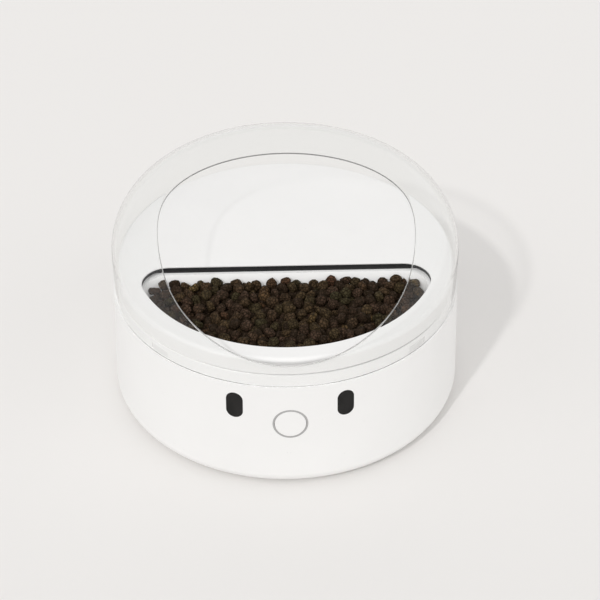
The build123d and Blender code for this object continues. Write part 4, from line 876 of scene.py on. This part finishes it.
def makeDome(settings, material, edgeMaterial):
    # Two skins, outer and inner, each with its rows spread evenly along the profile from the bottom edge
    # to the mouth's rim, at every angle, joined by a rounded lip at the mouth and another at the bottom.
    count = settings["around"]
    angles = np.arange(count) * 2 * np.pi / count
    lip, lipRows, footRows = settings["lipRound"], settings["lipRows"], settings["footRows"]

    def skin(depth):
        # rows of radius and level, from the foot to the mouth
        rim = rimByAngle(mouthRim(settings, depth, lip), angles)
        steps = np.linspace(0, 1, settings["skinRows"])[:, None]
        foot = settings["footShare"]
        share = foot + (shareOfRim(settings, depth, *rim) - foot)[None, :] * steps
        return list(zip(*skinSpot(settings, depth, share)))

    def between(first, second, share):
        return tuple(a + (b - a) * share for a, b in zip(first, second))

    def bend(first, corner, second, share):
        # quadratic curve from first to second, pulled towards the corner
        weights = ((1 - share) ** 2, 2 * share * (1 - share), share**2)
        return tuple(sum(w * v for w, v in zip(weights, values)) for values in zip(first, corner, second))

    def footCorner(reach):
        return np.full(count, reach), np.full(count, settings["bottom"])

    outer, inner = skin(0.0), skin(settings["wall"])[::-1]
    sharpOuter = rimByAngle(mouthRim(settings, 0.0, 0.0), angles)
    sharpInner = rimByAngle(mouthRim(settings, settings["wall"], 0.0), angles)
    gap = np.hypot(sharpInner[0] - sharpOuter[0], sharpInner[1] - sharpOuter[1])
    pull = np.clip(lip / gap, 0, settings["lipLimit"])
    outerWall = between(sharpOuter, sharpInner, pull)
    innerWall = between(sharpInner, sharpOuter, pull)
    inside = settings["radius"] - settings["wall"]
    innerCorner, innerFlat = footCorner(inside), footCorner(inside + lip)
    outerCorner, outerFlat = footCorner(settings["radius"]), footCorner(settings["radius"] - lip)

    rows = outer + [bend(outer[-1], sharpOuter, outerWall, i / lipRows) for i in range(1, lipRows + 1)]
    rows += [bend(innerWall, sharpInner, inner[0], i / lipRows) for i in range(lipRows)] + inner
    rows += [bend(inner[-1], innerCorner, innerFlat, i / footRows) for i in range(1, footRows + 1)]
    rows += [bend(outerFlat, outerCorner, outer[0], i / footRows) for i in range(footRows)]
    radius = np.array([r for r, z in rows])
    level = np.array([z for r, z in rows])
    points = np.stack([radius * np.cos(angles), radius * np.sin(angles), level], axis=-1)
    faces = ringFaces(len(rows), count, True)
    piece = meshPiece("clearDome", points, faces.tolist(), material)
    piece.data.materials.append(edgeMaterial)
    # the sawn face: rows of faces between the first and the last row of the mouth's lip
    firstEdge = settings["skinRows"] + 1
    slots = np.zeros((len(rows), count), int)
    slots[firstEdge:firstEdge + 2 * lipRows - 2] = 1
    piece.data.polygons.foreach_set("material_index", slots.ravel())
    return piece


dome = makeDome(domeSettings, finishes["clear_plastic"], makeSawnEdge(edgeSettings))
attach(dome, "dome")
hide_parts("dome")
print("dome:", len(dome.data.polygons), "faces")


# The dry food.
foodSettings = {
    "rim": 113.6,           # the bowl and the balls dropped into it are in millimetres, down to dropDeep
    "floor": 70.0,
    "openingRadius": 118.0,
    "openingBack": -18.0,
    "openingCorner": 20.0,
    "draft": 12.0,
    "clearance": 2.5,
    "size": 3.95,           # of the balls that keep the pellets apart
    "level": 102.6,         # of the lowest middles: the solid's own pellets show between them
    "top": (110.8, 108.0),  # highest middles, at the opening's straight edge and at the round side
    "nudge": 6,             # how far a ball rolls from where it is dropped
    "dropWide": (-108, 108),
    "dropDeep": (-112, -20),
    "tries": 17,            # places along each side of the square that it rolls in
    "drops": 4200,
    "ceiling": 0.1136,      # metres: the shutter sweeps over the pellets just above it
    "radius": 0.0048,
    "halfThick": 0.0029,
    "stretch": (0.86, 1.04),
    "thickStretch": (0.85, 1.12),
    "waves": ((2.0, 0.08), (4.2, 0.06)),    # how steep and how deep
    "phase": 6,
    "lean": 0.6,            # under 1, most pellets lie on a slant rather than on edge
    "around": 11,
    "ringLeans": (60, 30, 0, -30, -60),
    "widthPower": 0.42,
    "levelPower": 0.85,
    "seed": 11,
}


def roomInBowl(settings, spots):
    # Which middles lie inside the bowl's walls and its rounded corners, at their own level.
    lean = settings["draft"] * (settings["rim"] - spots[:, 2]) / (settings["rim"] - settings["floor"])
    inset = lean + settings["clearance"] + settings["size"]
    inside = np.hypot(spots[:, 0], spots[:, 1]) < settings["openingRadius"] - inset
    inside &= spots[:, 1] < settings["openingBack"] - inset
    cornerY = settings["openingBack"] - settings["openingCorner"]
    cornerX = math.sqrt((settings["openingRadius"] - settings["openingCorner"]) ** 2 - cornerY**2)
    aside = np.abs(spots[:, 0])
    inCorner = (aside > cornerX) & (spots[:, 1] * cornerX > cornerY * aside)
    near = np.hypot(aside - cornerX, spots[:, 1] - cornerY) < settings["openingCorner"] - inset
    return inside & (near | ~inCorner)


def heapPellets(settings, dice):
    # Balls dropped one after another on a level bed: each comes to rest at the lowest place near a
    # spot drawn by chance, where it touches what lies there already, and is left out where the heap
    # is full.
    size = settings["size"]
    rested = np.zeros((0, 3))
    side = np.linspace(-settings["nudge"], settings["nudge"], settings["tries"])
    nudge = np.stack(np.meshgrid(side, side), -1).reshape(-1, 2)
    for drop in range(settings["drops"]):
        middle = np.array([dice.uniform(*settings["dropWide"]), dice.uniform(*settings["dropDeep"])])
        tries = middle + nudge
        close = rested[(np.abs(rested[:, :2] - middle) < settings["nudge"] + 2 * size).all(1)]
        flat = ((tries[:, None, :] - close[None, :, :2]) ** 2).sum(-1)
        lift = close[None, :, 2] + np.sqrt(np.maximum(4 * size**2 - flat, 0))
        height = np.where(flat < 4 * size**2, lift, settings["level"]).max(1, initial=settings["level"])
        landing = np.concatenate([tries, height[:, None]], 1)
        landing = landing[roomInBowl(settings, landing)]
        if not len(landing):
            continue
        lowest = landing[landing[:, 2].argmin()]
        share = (settings["openingBack"] - lowest[1]) / (settings["openingRadius"] + settings["openingBack"])
        if lowest[2] < settings["top"][0] + share * (settings["top"][1] - settings["top"][0]):
            rested = np.concatenate([rested, [lowest]])
    return rested


def unitPellet(settings):
    # A cushion: rings of a ball whose width and level are both raised to a power, so its faces are flat
    # and its side is round. Closed by a point at the top and bottom.
    around = settings["around"]
    lean = np.radians(settings["ringLeans"])
    ring = np.cos(lean)[:, None] ** settings["widthPower"]
    level = (np.sign(lean) * np.abs(np.sin(lean)) ** settings["levelPower"])[:, None]
    turn = np.arange(around) * 2 * np.pi / around
    points = np.stack([ring * np.cos(turn), ring * np.sin(turn), level * np.ones(around)], -1)
    points = np.concatenate([points.reshape(-1, 3), [[0, 0, 1], [0, 0, -1]]])
    rings = len(lean)
    quads = ringFaces(rings, around, False)[:, ::-1]
    top, bottom, last = rings * around, rings * around + 1, (rings - 1) * around
    caps = [(top, i, (i + 1) % around) for i in range(around)]
    caps += [(bottom, last + (i + 1) % around, last + i) for i in range(around)]
    return points, quads, np.array(caps)


def makeFood(settings, material):
    # Each pellet is the cushion, stretched a little, given two shallow waves, turned and put in place, and
    # pressed down where it would stand above the ceiling.
    dice = np.random.default_rng(settings["seed"])
    spots = heapPellets(settings, dice) / 1000
    count = len(spots)
    unit, quads, caps = unitPellet(settings)
    stretch = np.stack([
        settings["radius"] * dice.uniform(*settings["stretch"], count),
        settings["radius"] * dice.uniform(*settings["stretch"], count),
        settings["halfThick"] * dice.uniform(*settings["thickStretch"], count),
    ], 1)
    wave = np.ones((count, len(unit), 1))
    for steep, depth in settings["waves"]:
        slope = dice.normal(0, steep, (count, 3, 1))
        wave += depth * np.sin(unit[None] @ slope + dice.uniform(0, settings["phase"], (count, 1, 1)))
    body = unit[None] * stretch[:, None, :] * wave
    spin = dice.normal(0, 1, (count, 4))    # a quaternion that turns each pellet any way
    spin[:, 1:3] *= settings["lean"]
    spin /= np.linalg.norm(spin, axis=1)[:, None]
    w, x, y, z = spin.T
    turn = np.stack([
        1 - 2 * (y * y + z * z), 2 * (x * y - w * z), 2 * (x * z + w * y),
        2 * (x * y + w * z), 1 - 2 * (x * x + z * z), 2 * (y * z - w * x),
        2 * (x * z - w * y), 2 * (y * z + w * x), 1 - 2 * (x * x + y * y),
    ], 1).reshape(-1, 3, 3)
    points = np.einsum("nij,nkj->nki", turn, body) + spots[:, None, :]
    points[..., 2] -= np.maximum(points[..., 2].max(1) - settings["ceiling"], 0)[:, None]
    shift = (np.arange(count) * len(unit))[:, None, None]
    faces = []
    for corners in (quads, caps):
        faces += (corners[None] + shift).reshape(-1, corners.shape[1]).tolist()
    food = meshPiece("dryFood", points, faces, material)
    tints = np.repeat(dice.uniform(0, 1, count), len(unit)).astype(np.float32)
    food.data.attributes.new("pelletTint", "FLOAT", "POINT").data.foreach_set("value", tints)
    print("dry food:", count, "pellets, top at", round(float(points[..., 2].max()), 4))
    return food


food = makeFood(foodSettings, finishes["kibble"])
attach(food, "tray")


# View settings.
scene = bpy.context.scene
scene.view_settings.view_transform = "Standard"
